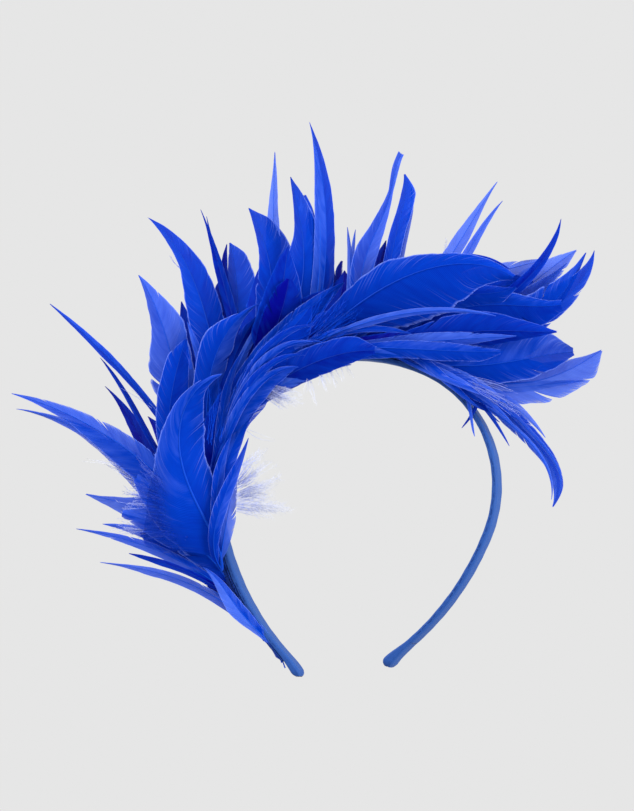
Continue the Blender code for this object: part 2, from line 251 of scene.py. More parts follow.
@dataclass(frozen=True)
class FeatherFinish:
    """Dyed feather: fine barb lines, a see-through edge, three depths of one blue.

    A tone of 0 is deep, 1 royal and 2 pale. The fields that end in shift say how far a pattern moves the
    tone, among them the painted shade of the crease by the shaft and the painted light of the vane's edge.
    Two shares say how far the vane's edge and some bright barb streaks go to the highlight colour, a painted
    highlight.
    """

    name: str
    deep: Colour = (0.0, 0.0008, 0.185, 1.0)
    royal: Colour = (0.0, 0.04, 0.465, 1.0)
    pale: Colour = (0.068, 0.158, 0.77, 1.0)
    rim_highlight: Colour = (0.26, 0.36, 0.97, 1.0)
    rough: float = 0.6
    gloss: float = 0.025
    glow: float = 0.3
    glow_least: float = 0.1
    barbs_per_mm: float = 1.3
    barb_relief: float = 0.35
    barb_high: float = 0.12 * MM
    fine: Grain = Grain(2.6, 0.7, 2.0, 0.0, 3.0)
    fine_shift: float = 0.24
    streaks: Grain = Grain(0.7, 0.9, 1.0, 4.0, 2.0)
    streaks_shift: float = 0.18
    broad: Grain = Grain(0.24, 1.3, 1.0, 9.0, 5.0)
    broad_shift: float = 0.7
    edge_light_shift: float = 0.7
    outer_light_shift: float = 0.12
    crease_shade_shift: float = -0.12
    rim_highlight_share: float = 0.62
    rim_unfrayed: float = 1.8
    glint: Grain = Grain(1.7, 0.35, 0.0, 30.0, 3.0)
    glint_from: float = 0.66
    glint_sharp: float = 9.0
    glint_share: float = 0.3
    gaps: Grain = Grain(3.4, 0.3, 0.0, 20.0, 3.0)
    gaps_from: float = 0.54
    gaps_sharp: float = 7.0
    gaps_clear: float = 0.85
    gaps_taper: float = 0.7
    veil_ground: float = 0.55
    veil_fine: float = 0.9
    veil_outer: float = 0.5

    def shade(self, tone: Wire, across: Wire, fine: Wire, streaks: Wire, broad: Wire) -> Wire:
        """Works out how deep the blue is, with painted shade in the crease by the shaft and painted light
        towards the vane's edge.

        Args:
            tone: the feather's own tone.
            across: 0 at the shaft, 1 at the vane's edge.
            fine: the fine pattern.
            streaks: the streaks' pattern.
            broad: the broad pattern.

        Returns:
            The tone, shifted by all of them.
        """
        # Painted shade in the crease beside the shaft.
        crease = 1.0 - across.smooth(0.0, 0.08)
        patterns = (fine - 0.5) * self.fine_shift + (streaks - 0.5) * self.streaks_shift
        patterns = patterns + (broad - 0.5) * self.broad_shift
        # The vane is painted lighter towards its edge, and more so at the edge itself: painted light on the
        # thin, curled edge.
        edges = across.smooth(0.9, 1.0) * self.edge_light_shift + across.smooth(0.3, 1.0) * self.outer_light_shift
        return tone + patterns + edges + crease * self.crease_shade_shift

    def material(self) -> bpy.types.Material:
        """Makes the material.

        Returns:
            The material, for meshes that carry tone, veil and fray.
        """
        paint = Paint(self.name)
        along, across = paint.place("barbs")
        tone, veil, fray = (paint.carried(key) for key in ("tone", "veil", "fray"))
        patterns = (self.fine, self.streaks, self.broad, self.glint, self.gaps)
        fine, streaks, broad, glint, gaps = (one.over(paint, along, across, tone) for one in patterns)
        shade = self.shade(tone, across, fine, streaks, broad)
        colour = paint.blend(shade.clamp(), self.deep, self.royal)
        colour = paint.blend((shade - 1.0).clamp(), colour, self.pale)
        # Painted highlights: a light line along the vane's edge and bright streaks along some barbs. They
        # show on the lighter tones only, and less where the edge frays.
        glint_mask = ((glint - self.glint_from) * self.glint_sharp).clamp() * across.smooth(0.25, 0.8)
        light = across.smooth(0.93, 1.0) * self.rim_highlight_share + glint_mask * self.glint_share
        light = light * tone.smooth(0.3, 0.9) * (1.0 - fray * self.rim_unfrayed).clamp()
        colour = paint.blend(light.clamp(), colour, self.rim_highlight)
        frayed = ((across - 1.0 + fray) / (fray * self.gaps_taper)).clamp()
        open_gaps = ((gaps - self.gaps_from) * self.gaps_sharp).clamp() * frayed * self.gaps_clear
        thin = veil * (self.veil_ground + fine * self.veil_fine) * (1.0 + across ** 2.0 * self.veil_outer)
        cover = 1.0 - (thin + open_gaps).clamp()
        normal = paint.bump(along.wave(self.barbs_per_mm) + fine, self.barb_relief, self.barb_high)
        body = paint.body(colour, self.rough, self.gloss, Alpha=cover, Normal=normal)
        through = (shade.clamp() * (1.0 - self.glow_least) + self.glow_least) * self.glow
        return paint.surface(paint.lit_through(body, self.royal, through, Normal=normal))


@dataclass(frozen=True)
class QuillFinish:
    """The shafts: smooth, a little paler than the vanes."""

    name: str
    dark: Colour = (0.0, 0.006, 0.2, 1.0)
    light: Colour = (0.002, 0.07, 0.56, 1.0)
    rough: float = 0.5
    gloss: float = 0.08
    grain: Grain = Grain(0.8, 4.0, 2.0, 0.0, 3.0)
    tone_share: float = 0.62
    grain_share: float = 0.4
    relief: float = 0.3
    high: float = 0.1 * MM

    def material(self) -> bpy.types.Material:
        """Makes the material.

        Returns:
            The material, for tubes that carry tone.
        """
        paint = Paint(self.name)
        along, around = paint.place("barbs")
        tone = paint.carried("tone")
        grain = self.grain.over(paint, along, around, tone)
        share = (tone * self.tone_share + (grain - 0.5) * self.grain_share).clamp()
        colour = paint.blend(share, self.dark, self.light)
        normal = paint.bump(grain, self.relief, self.high)
        return paint.surface(paint.body(colour, self.rough, self.gloss, Normal=normal))


@dataclass(frozen=True)
class RibbonFinish:
    """Ribbed satin ribbon on the band: fine cross ribs, small creases with their shade painted in, and
    painted shade on its front and back edge faces.
    """

    name: str
    base: Colour = (0.022, 0.085, 0.31, 1.0)
    shadow: Colour = (0.008, 0.035, 0.18, 1.0)
    rough: float = 0.5
    rough_spread: float = 0.2
    gloss: float = 0.12
    ribs_per_mm: float = 1.9
    rib_slant: float = 0.35
    threads_per_mm: float = 2.6
    creases: Grain = Grain(0.25, 0.5, 3.0)
    specks: Grain = Grain(3.0, 3.0, 2.0, 4.0)
    ground_share: float = 0.35
    weave_share: float = 0.12
    crease_shade_share: float = 0.5
    speck_share: float = 0.16
    edge_shade_share: float = -0.3
    rib_rise: float = 0.5
    thread_rise: float = 0.3
    crease_rise: float = 1.5
    relief: float = 0.12
    high: float = 0.1 * MM

    def material(self) -> bpy.types.Material:
        """Makes the material.

        Returns:
            The material, for meshes that carry edge.
        """
        paint = Paint(self.name)
        along, around = paint.place("ribbon")
        ribs = (along + around * self.rib_slant).wave(self.ribs_per_mm)
        threads = around.wave(self.threads_per_mm)
        creases = self.creases.over(paint, along, around)
        specks = self.specks.over(paint, along, around)
        weave = self.ground_share + ribs * threads * self.weave_share
        # Specks in the yarn, and the creases painted into the colour as their shade and light.
        specks_and_crease_shade = creases * self.crease_shade_share + specks * self.speck_share
        # The band's front and back edge faces are painted darker, as shade.
        share = weave + specks_and_crease_shade + paint.carried("edge") * self.edge_shade_share
        colour = paint.blend(share.clamp(), self.shadow, self.base)
        rough = self.rough + (specks - 0.5) * self.rough_spread
        height = ribs * self.rib_rise + threads * self.thread_rise + creases * self.crease_rise
        normal = paint.bump(height, self.relief, self.high)
        return paint.surface(paint.body(colour, rough, self.gloss, Normal=normal))


@dataclass(frozen=True)
class ThreadFinish:
    """Matt navy tape and thread: a twisted, slightly fuzzy yarn."""

    name: str
    base: Colour = (0.0, 0.005, 0.075, 1.0)
    light: Colour = (0.015, 0.06, 0.32, 1.0)
    rough: float = 0.85
    gloss: float = 0.08
    twists_per_mm: float = 2.2
    twist_slant: float = 0.5
    twist_share: float = 0.4
    fuzz: Grain = Grain(2.5, 2.5, 3.0, 1.0)
    fuzz_from: float = 0.3
    fuzz_share: float = 0.8
    relief: float = 0.5
    high: float = 0.2 * MM

    def material(self) -> bpy.types.Material:
        """Makes the material.

        Returns:
            The material.
        """
        paint = Paint(self.name)
        along, around = paint.place("ribbon")
        twist = (along + around * self.twist_slant).wave(self.twists_per_mm)
        fuzz = self.fuzz.over(paint, along, around)
        share = twist * self.twist_share + (fuzz - self.fuzz_from) * self.fuzz_share
        colour = paint.blend(share.clamp(), self.base, self.light)
        normal = paint.bump(twist + fuzz, self.relief, self.high)
        return paint.surface(paint.body(colour, self.rough, self.gloss, Normal=normal))


@dataclass(frozen=True)
class DownFinish:
    """Fine soft strands, from the feathers' own blue to a lavender white."""

    name: str
    blue: Colour = (0.0, 0.045, 0.5, 1.0)
    lavender: Colour = (0.46, 0.54, 0.97, 1.0)
    white: Colour = (0.93, 0.94, 0.98, 1.0)
    through: Colour = (0.72, 0.77, 0.97, 1.0)
    rough: float = 0.8
    gloss: float = 0.05
    glow: float = 0.4
    grain: Grain = Grain(0.6, 1.0, 1.0, 0.0, 4.0)
    grain_share: float = 0.3

    def material(self) -> bpy.types.Material:
        """Makes the material.

        Returns:
            The material, for strands that carry pale.
        """
        paint = Paint(self.name)
        along, around = paint.place("barbs")
        pale = paint.carried("pale")
        share = pale + (self.grain.over(paint, along, around, pale) - 0.5) * self.grain_share
        lavender = share.smooth(0.1, 0.7)
        colour = paint.blend(lavender, self.blue, self.lavender)
        colour = paint.blend(share.smooth(0.6, 0.95), colour, self.white)
        body = paint.body(colour, self.rough, self.gloss)
        return paint.surface(paint.lit_through(body, self.through, lavender * self.glow))


@dataclass(frozen=True)
class FloorFinish:
    """A plain pale floor with a faint mottle."""

    name: str
    base: Colour = (0.44, 0.44, 0.44, 1.0)
    specks_and_crease_shade: Colour = (0.415, 0.415, 0.42, 1.0)
    mottles_per_m: float = 3.0

    def material(self) -> bpy.types.Material:
        """Makes the material.

        Returns:
            The material.
        """
        paint = Paint(self.name)
        where = paint.add("ShaderNodeTexCoord", {}, {}, "Object")
        colour = paint.blend(paint.noise(where, self.mottles_per_m, 3.0), self.base, self.specks_and_crease_shade)
        return paint.surface(paint.body(colour, 1.0, 0.0))


def unit(vectors: np.ndarray) -> np.ndarray:
    """Vectors of length 1, along the last axis."""
    return vectors / np.maximum(np.linalg.norm(vectors, axis=-1, keepdims=True), 1e-9)


def smooth(low: float, high: float, value: np.ndarray) -> np.ndarray:
    """0 below low, 1 above high, and an S between them."""
    share = np.clip((value - low) / (high - low), 0.0, 1.0)
    return share * share * (3 - 2 * share)


def chart(along: np.ndarray, across: np.ndarray) -> np.ndarray:
    """A UV map, rows by columns by 2, from each row's first coordinate and each column's second."""
    return np.stack(np.broadcast_arrays(along[:, None], across[None]), axis=-1)


@dataclass(frozen=True)
class Wave:
    """A sine: how high it is, how many radians to each 1 of the place, and where it starts."""

    high: float
    pace: float
    start: float = 0.0

    def at(self, place: np.ndarray) -> np.ndarray:
        """Its height at those places."""
        return self.high * np.sin(place * self.pace + self.start)


class Skin:
    """Gathers sheets and tubes, and makes one object of them."""

    def __init__(self, name: str, uv: str, carried: tuple[str, ...] = ()) -> None:
        """Starts an empty skin.

        Args:
            name: the object's name.
            uv: its UV map's name.
            carried: the names of the numbers that its points carry.
        """
        self.name = name
        self.uv = uv
        self.carried = carried
        self.points: list[np.ndarray] = []
        self.places: list[np.ndarray] = []
        self.values: dict[str, list[np.ndarray]] = {key: [] for key in carried}
        self.quads: list[np.ndarray] = []
        self.caps: list[list[int]] = []
        self.count = 0

    def sheet(self, points: np.ndarray, places: np.ndarray, keep: np.ndarray | None = None,
              closed: bool = False, **values: Numbers) -> None:
        """Adds a grid of points as quads.

        Args:
            points: rows by columns by 3, in mm.
            places: rows by columns by 2, the UV map.
            keep: rows - 1 by columns - 1, which quads are made.
            closed: whether the last column joins the first, and both ends are capped.
            values: what each point carries, one number or rows by columns.
        """
        rows, columns = points.shape[:2]
        index = np.arange(rows * columns).reshape(rows, columns) + self.count
        right = np.roll(index, -1, axis=1) if closed else index[:, 1:]
        left = index if closed else index[:, :-1]
        quads = np.stack([left[:-1], right[:-1], right[1:], left[1:]], axis=-1)
        self.quads.append(quads.reshape(-1, 4) if keep is None else quads[keep])
        self.points.append(points.reshape(-1, 3))
        self.places.append(places.reshape(-1, 2))
        for key in self.carried:
            self.values[key].append(np.broadcast_to(values[key], (rows, columns)).reshape(-1))
        self.count += rows * columns
        if closed:
            self.caps += [index[0].tolist(), index[-1, ::-1].tolist()]

    def tube(self, path: np.ndarray, radii: np.ndarray, sides: int, lift: np.ndarray, flat: float = 1.0,
             **values: Numbers) -> None:
        """Adds a tapered tube along a path, closed at both ends.

        Args:
            path: the middle line, in mm.
            radii: a radius for each of its points.
            sides: how many sides it has.
            lift: a direction that is roughly square to it, for its flat side.
            flat: its height as a share of its width.
            values: what its points carry.
        """
        run = unit(np.gradient(path, axis=0))
        side = unit(np.cross(run, np.broadcast_to(lift, path.shape)))
        rise = np.cross(side, run)
        turn = 2 * pi * np.arange(sides) / sides
        cosine, sine = np.cos(turn)[None, :, None], np.sin(turn)[None, :, None]
        ring = side[:, None] * cosine + rise[:, None] * sine * flat
        points = path[:, None] + ring * np.asarray(radii)[:, None, None]
        far = np.concatenate([[0.0], np.cumsum(np.linalg.norm(np.diff(path, axis=0), axis=1))])
        self.sheet(points, chart(far, np.arange(sides) / sides), closed=True, **values)

    def make(self, material: bpy.types.Material, stands_for: tuple[str, ...] = ()) -> None:
        """Makes the object, which rides on the part's one body, and reports it.

        Args:
            material: its material.
            stands_for: the part's nodes that it replaces.
        """
        points = np.concatenate(self.points) * MM
        quads = np.concatenate(self.quads)
        loops = np.concatenate([quads.reshape(-1)] + [np.array(cap) for cap in self.caps]).astype(np.int32)
        sizes = np.concatenate([np.full(len(quads), 4), np.array([len(cap) for cap in self.caps], int)])
        starts = np.concatenate([[0], np.cumsum(sizes)[:-1]]).astype(np.int32)
        mesh = bpy.data.meshes.new(self.name)
        mesh.vertices.add(len(points))
        mesh.vertices.foreach_set("co", points.astype(np.float32).reshape(-1))
        mesh.loops.add(len(loops))
        mesh.loops.foreach_set("vertex_index", loops)
        mesh.polygons.add(len(sizes))
        mesh.polygons.foreach_set("loop_start", starts)
        mesh.update(calc_edges=True)
        mesh.validate()
        places = np.concatenate(self.places)[loops]
        mesh.uv_layers.new(name=self.uv).data.foreach_set("uv", places.astype(np.float32).reshape(-1))
        for key in self.carried:
            layer = mesh.attributes.new(key, "FLOAT", "POINT")
            layer.data.foreach_set("value", np.concatenate(self.values[key]).astype(np.float32))
        mesh.shade_smooth()
        mesh.materials.append(material)
        obj = bpy.data.objects.new(self.name, mesh)
        bpy.context.scene.collection.objects.link(obj)
        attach(obj, "root")
        if stands_for:
            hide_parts(*stands_for)
        LOG.info("%s: %d triangles", self.name, 2 * len(quads) + sum(len(cap) - 2 for cap in self.caps))


@dataclass
class ChartView:
    """The view that the feathers are charted from, and that the camera takes.

    The picture's height is in pixels, and the view is set so that its scale holds at the target.
    """

    azimuth: float = 22.1
    elevation: float = -4.0
    roll: float = 7.6
    distance: float = 1100.0
    target: Place = (-21.3, 0.0, -20.8)
    pixels_per_mm: float = 2.38
    picture_high: float = 811.0
    sensor: float = 36.0
    clip_near: float = 0.05
    clip_far: float = 50.0
    right: np.ndarray = field(init=False)
    up: np.ndarray = field(init=False)
    towards: np.ndarray = field(init=False)
    eye: np.ndarray = field(init=False)

    def __post_init__(self) -> None:
        """Works out the picture's directions, and where the eye is."""
        turn, tilt, roll = radians(self.azimuth), radians(self.elevation), radians(self.roll)
        level = np.array((cos(turn), sin(turn), 0.0))
        rise = np.array((-sin(turn) * sin(tilt), cos(turn) * sin(tilt), cos(tilt)))
        self.right = level * cos(roll) + rise * sin(roll)
        self.up = rise * cos(roll) - level * sin(roll)
        self.towards = np.cross(self.right, self.up)
        self.eye = np.array(self.target) + self.towards * self.distance

    def place(self, right: float, up: float, front: float) -> np.ndarray:
        """The point that shows at right and up of the crown and lies front of the band's plane."""
        ray = self.right * right + self.up * up - self.eye
        return self.eye + ray * ((-front - self.eye[1]) / ray[1])

    def camera(self) -> None:
        """Makes the camera that takes this view."""
        lens = bpy.data.cameras.new("camera")
        lens.sensor_fit = "VERTICAL"
        lens.sensor_height = self.sensor
        lens.lens = self.sensor * self.distance * self.pixels_per_mm / self.picture_high
        lens.clip_start = self.clip_near
        lens.clip_end = self.clip_far
        obj = bpy.data.objects.new("camera", lens)
        axes = Matrix((self.right, self.up, self.towards)).transposed().to_4x4()
        obj.matrix_world = Matrix.Translation(Vector(self.eye * MM)) @ axes
        bpy.context.scene.collection.objects.link(obj)
        bpy.context.scene.camera = obj


class Leg(str, Enum):
    """A leg of the band, by the hand it shows on from the front."""

    LEFT = "left"
    RIGHT = "right"


@dataclass
class HeadBand:
    """The covered band: a strip along tangent arcs, whose ends turn out a little.

    Each of the arcs is a radius and a length. Places along the band run from the crown, left minus.
    """

    wide: float = 8.0
    thick: float = 2.4
    arcs: tuple[tuple[float, float], ...] = ((81.0, 28.3), (50.7, 75.5))
    leg_radius: float = 112.0
    tip_radius: float = -60.0
    tip_long: float = 14.0
    left_end: float = -187.0
    right_end: float = 172.0
    section: int = 36
    squareness: float = 5.0
    step: float = 1.5
    swells: tuple[Wave, ...] = (Wave(0.02, 0.9), Wave(0.015, 0.37, 1.0))
    close_long: float = 1.8
    close_share: float = 0.55
    edge_shade_narrow: int = 10
    fold_long: float = 15.0
    fold_over: float = 0.5
    fold_round: float = 3.0
    fold_thick: dict[Leg, float] = field(default_factory=lambda: {Leg.LEFT: 1.0, Leg.RIGHT: 2.2})
    fold_stations: int = 44
    fold_gap: float = 0.01
    fold_cloth: float = 0.1
    fold_under: float = 0.05
    fold_crease: float = 0.04
    fold_creases_across: float = 6.0
    fold_creases_along: float = 7.0
    fold_crowding: float = 0.8
    fold_end_share: float = 0.02
    stitch_apart: float = 3.4
    stitch_shortest: float = 2.2
    stitch_longest: float = 3.0
    stitch_jitter: float = 0.2
    stitch_radius: float = 0.085
    stitch_lift: float = 0.03
    stitch_points: int = 6
    stitch_wave: float = 0.12
    stitch_wave_pace: float = 4.0
    stitch_sides: int = 5

    def frame(self, along: np.ndarray) -> tuple[np.ndarray, np.ndarray]:
        """The inner face and the outward normal.

        Args:
            along: distances along the inner face from the crown.

        Returns:
            The points on the inner face, and the normals there.
        """
        side = np.where(along < 0, -1.0, 1.0)
        end = np.where(along < 0, -self.left_end, self.right_end)
        leg = end - self.tip_long - sum(length for _, length in self.arcs)
        left = np.abs(along)
        heading = np.zeros_like(left)
        x, z = np.zeros_like(left), np.zeros_like(left)
        past_tip = 2 * self.tip_long
        for radius, length in (*self.arcs, (self.leg_radius, leg), (self.tip_radius, past_tip)):
            gone = np.clip(left, 0.0, length)
            turned = heading + gone / radius
            x += radius * (np.sin(turned) - np.sin(heading))
            z += radius * (np.cos(turned) - np.cos(heading))
            heading = turned
            left = left - gone
        point = np.stack([side * x, np.zeros_like(x), z], axis=-1)
        normal = np.stack([side * np.sin(heading), np.zeros_like(x), np.cos(heading)], axis=-1)
        return point, normal

    def on(self, along: Numbers, out: Numbers, forward: Numbers) -> np.ndarray:
        """Points on and about the band.

        Args:
            along: distances along the inner face from the crown.
            out: how far out from the inner face they lie.
            forward: how far in front of the band's middle.

        Returns:
            The points, in mm.
        """
        along, out, forward = np.broadcast_arrays(*(np.asarray(one, float) for one in (along, out, forward)))
        point, normal = self.frame(along)
        return point + normal * out[..., None] + np.array((0.0, -1.0, 0.0)) * forward[..., None]

    def ring(self) -> tuple[np.ndarray, np.ndarray]:
        """The band's section, a rectangle with round corners.

        Returns:
            How far out and how far forward each of its points is, from -1 to 1.
        """
        turn = 2 * pi * (np.arange(self.section) + 0.5) / self.section
        reach = (np.abs(np.cos(turn)) ** self.squareness + np.abs(np.sin(turn)) ** self.squareness)
        reach = reach ** (-1 / self.squareness)
        return np.sin(turn) * reach, np.cos(turn) * reach

    def sleeve(self, skin: Skin, along: np.ndarray, rise: np.ndarray, across: np.ndarray) -> None:
        """Adds a closed ribbon sleeve round the band.

        Args:
            skin: what it is added to.
            along: where each of its rings lies.
            rise: how far out each of their points is.
            across: half the width at each ring.
        """
        out, forward = self.ring()
        steps = np.hypot(np.diff(out) * self.thick / 2, np.diff(forward) * self.wide / 2)
        girth = np.concatenate([[0.0], np.cumsum(steps)])
        points = self.on(along[:, None], rise, forward[None] * across[:, None])
        # Marks the sleeve's front and back edge faces, which the ribbon's finish paints darker as shade.
        edge = np.abs(forward)[None] ** self.edge_shade_narrow
        skin.sheet(points, chart(along, girth), closed=True, edge=edge)

    def cover(self, ribbon: bpy.types.Material) -> None:
        """Builds the ribbon-covered band.

        Args:
            ribbon: its material.
        """
        skin = Skin("satin_cover", "ribbon", ("edge",))
        along = np.arange(self.left_end, self.right_end + self.step, self.step)
        along[-1] = self.right_end
        swell = sum((wave.at(along) for wave in self.swells), 1)
        close = np.minimum(along - self.left_end, self.right_end - along)
        closing = np.sqrt(np.clip(close / self.close_long, 0.0, 1.0))
        full = swell * (self.close_share + (1 - self.close_share) * closing)
        half = self.thick / 2
        rise = half + self.ring()[0][None] * half * full[:, None]
        self.sleeve(skin, along, rise, self.wide / 2 * full)
        skin.make(ribbon, ("satin_band",))

    def fold(self, leg: Leg, ribbon: bpy.types.Material) -> None:
        """Builds the folded end of the ribbon: a close sleeve that fills out inwards and rounds off.

        Args:
            leg: the leg that it ends.
            ribbon: its material.
        """
        skin = Skin(f"ribbon_fold_{leg.value}", "ribbon", ("edge",))
        end, away = (self.left_end, -1.0) if leg is Leg.LEFT else (self.right_end, 1.0)
        share = np.linspace(0, 1, self.fold_stations) ** self.fold_crowding
        along = share * (self.fold_long + self.fold_over) - self.fold_long
        close = np.clip((self.fold_over - along) / self.fold_round, 0.0, 1.0)
        rounding = np.sqrt(np.maximum(close * (2 - close), self.fold_end_share))
        grown = smooth(0.0, 0.3, share)
        cloth = self.fold_gap + self.fold_cloth * grown
        low = -self.fold_gap - self.fold_under * grown - self.fold_thick[leg] * smooth(0.1, 0.95, share)
        high = self.thick + cloth
        middle, half = (low + high) / 2, (high - low) / 2 * rounding
        out, forward = self.ring()
        creased = grown * np.sin(share * self.fold_creases_along)
        crease = self.fold_crease * np.sin(forward * self.fold_creases_across)[None] * creased[:, None]
        rise = middle[:, None] + out[None] * half[:, None] + crease
        across = (self.wide / 2 + cloth) * (0.5 + 0.5 * rounding)
        self.sleeve(skin, end + away * along, rise, across)
        skin.make(ribbon, (f"tip_fold_{leg.value}",))

    def seam(self, thread: bpy.types.Material) -> None:
        """Builds the ribbon's closing stitches, a fine broken line along the band's front edge.

        Args:
            thread: their material.
        """
        skin = Skin("ribbon_seam", "ribbon")
        random = np.random.default_rng(SEED)
        share = np.linspace(0, 1, self.stitch_points)
        arch = self.wide / 2 - self.fold_gap + self.stitch_lift * np.sin(share * pi)
        first, last = self.left_end + self.fold_long, self.right_end - self.fold_long
        for start in np.arange(first, last, self.stitch_apart):
            start = start + random.uniform(-self.stitch_jitter, self.stitch_jitter)
            out = self.thick * 0.5 + Wave(self.stitch_wave, self.stitch_wave_pace, start).at(share)
            long = random.uniform(self.stitch_shortest, self.stitch_longest)
            path = self.on(start + long * share, out, arch)
            radii = np.full(self.stitch_points, self.stitch_radius)
            skin.tube(path, radii, self.stitch_sides, np.array((0.0, 0.0, 1.0)))
        skin.make(thread)


@dataclass
class QuillTape:
    """The navy tape on the outer face, its ridge of bound quill ends, and the thread round them."""

    band: HeadBand
    start: float = -178.0
    end: float = 46.0
    wide: float = 7.6
    thick: float = 0.9
    gap: float = 0.3
    step: float = 1.5
    lift: float = 0.05
    bevel: float = 0.97
    crown: float = 1.1
    edge_wave: Wave = Wave(0.03, 1.1)
    ridge_start: float = -166.0
    ridge_end: float = 40.0
    ridge_wide: float = 7.4
    ridge_high: float = 2.2
    ridge_end_high: float = 0.6
    ridge_taper: float = 28.0
    ridge_step: float = 1.2
    ridge_points: int = 13
    ridge_round: float = 3.0
    ridge_sunk: float = 0.35
    ridge_cover: float = 0.2
    lump_high: float = 0.16
    lump_pace: float = 1.7
    lump_slant: float = 2.0
    lump_jitter: float = 0.08
    turns_apart: float = 3.1
    turn_points: int = 16
    turn_lean: float = 1.2
    turn_jitter: float = 0.5
    turn_first: float = 3.0
    turn_last: float = 2.0
    turn_start: float = 0.02
    turn_out: float = 0.25
    turn_sunk: float = 0.2
    turn_over: float = 0.3
    thread_radius: float = 0.2
    thread_sides: int = 5

    def ridge_height(self, along: Numbers) -> np.ndarray:
        """How high the ridge of quill ends stands.

        Args:
            along: where along the band.

        Returns:
            Its height there, which falls off towards both ends.
        """
        near = np.minimum(np.asarray(along) - self.ridge_start, self.ridge_end - np.asarray(along))
        share = np.clip(near / self.ridge_taper, 0.0, 1.0)
        return self.ridge_end_high + (self.ridge_high - self.ridge_end_high) * share

    def top(self) -> float:
        """How far out of the inner face the ridge starts."""
        return self.band.thick + self.thick + 2 * self.gap

    def strip(self, tape: bpy.types.Material) -> None:
        """Builds the tape, with a little wave along its edges.

        Args:
            tape: its material.
        """
        skin = Skin("woven_tape", "ribbon")
        along = np.arange(self.start, self.end, self.step)
        low = self.band.thick + self.lift
        high = low + self.thick
        out = np.array((low, high, low + self.thick * self.crown, high, low))
        side = np.array((-1, -self.bevel, 0, self.bevel, 1)) * self.wide / 2
        full = 1 + self.edge_wave.at(along)
        points = self.band.on(along[:, None], out[None], side[None] * full[:, None])
        skin.sheet(points, chart(along, side), closed=True)
        skin.make(tape, ("quill_tape",))

    def binding(self, thread: bpy.types.Material) -> None:
        """Builds the lumpy bound ridge under the feathers, and the thread wound over it.

        Args:
            thread: their material.
        """
        skin = Skin("quill_binding", "ribbon")
        random = np.random.default_rng(SEED + 1)
        along = np.arange(self.ridge_start, self.ridge_end, self.ridge_step)
        turn = np.linspace(0, pi, self.ridge_points)
        rough = random.uniform(-self.lump_jitter, self.lump_jitter, (len(along), self.ridge_points))
        slant = along[:, None] * self.lump_pace + turn[None] * self.lump_slant
        lumps = 1 + self.lump_high * np.sin(slant) + rough
        high = self.ridge_height(along)[:, None] + self.ridge_cover
        out = self.top() - self.ridge_sunk + np.sin(turn)[None] * high * lumps
        points = self.band.on(along[:, None], out, np.cos(turn)[None] * self.ridge_wide / 2)
        skin.sheet(points, chart(along, turn * self.ridge_round))
        share = np.linspace(self.turn_start, 1 - self.turn_start, self.turn_points)
        arch, across = np.sin(share * pi), np.cos(share * pi) * (self.wide / 2 + self.turn_out)
        radii = np.full(self.turn_points, self.thread_radius)
        first, last = self.ridge_start + self.turn_first, self.ridge_end - self.turn_last
        for start in np.arange(first, last, self.turns_apart):
            lean = random.uniform(-self.turn_lean, self.turn_lean)
            where = start + lean * (share - 0.5) + random.uniform(-self.turn_jitter, self.turn_jitter)
            over = self.top() - self.band.thick + self.ridge_height(where) + self.turn_over
            path = self.band.on(where, self.band.thick - self.turn_sunk + arch * over, across)
            skin.tube(path, radii, self.thread_sides, np.array((0.0, -1.0, 0.2)))
        skin.make(thread, ("feather_crest",))


class Tone(float, Enum):
    """How deep a feather's blue is: 0 is deep, 1 royal, 2 pale. The navy and shade tones are partly painted
    shade, given to feathers that lie under and between others.
    """

    NAVY = 0.12
    SHADE = 0.42
    ROYAL = 0.8
    BRIGHT = 1.02
    MISTY = 1.28
    PALE = 1.5
    THIN = 1.8


@dataclass(frozen=True)
class Feather:
    """One feather, in the terms of its chart.

    seat is where its quill sits along the band. spine holds the points that the shaft runs through
    after its root, as (right, up, front) from the crown. left and right are the widths of its vanes,
    at even steps from a tenth to nine tenths of its length; where there are only two, they are a
    plain blade's widest and its tip's. roll is how far it turns about its shaft by the tip, in
    degrees. tears is the most places where the barbs of a vane have parted. curl is how far the
    vanes cup back, as a share of their width, and blunt is half its width at the tip. soft is how
    far the lower half of each vane melts away to down. split is how much lighter the left vane is
    painted than the right, painted light and shade across the shaft, and stem is how much thicker
    than usual its shaft shows.
    """

    name: str
    seat: float
    spine: tuple[Place, ...]
    left: Widths
    right: Widths
    tone: Tone = Tone.ROYAL
    roll: float = 10.0
    tears: int = 2
    curl: float = 0.16
    blunt: float = 0.12
    soft: tuple[float, float] = (0.0, 0.0)
    split: float = 0.0
    stem: float = 1.0


def paired(name: str, seat: float, spine: tuple[Place, ...], widths: Widths, *tone: Tone,
           **more: float) -> Feather:
    """A feather whose two vanes are equally wide; its other columns are a Feather's."""
    return Feather(name, seat, spine, widths, widths, *tone, **more)


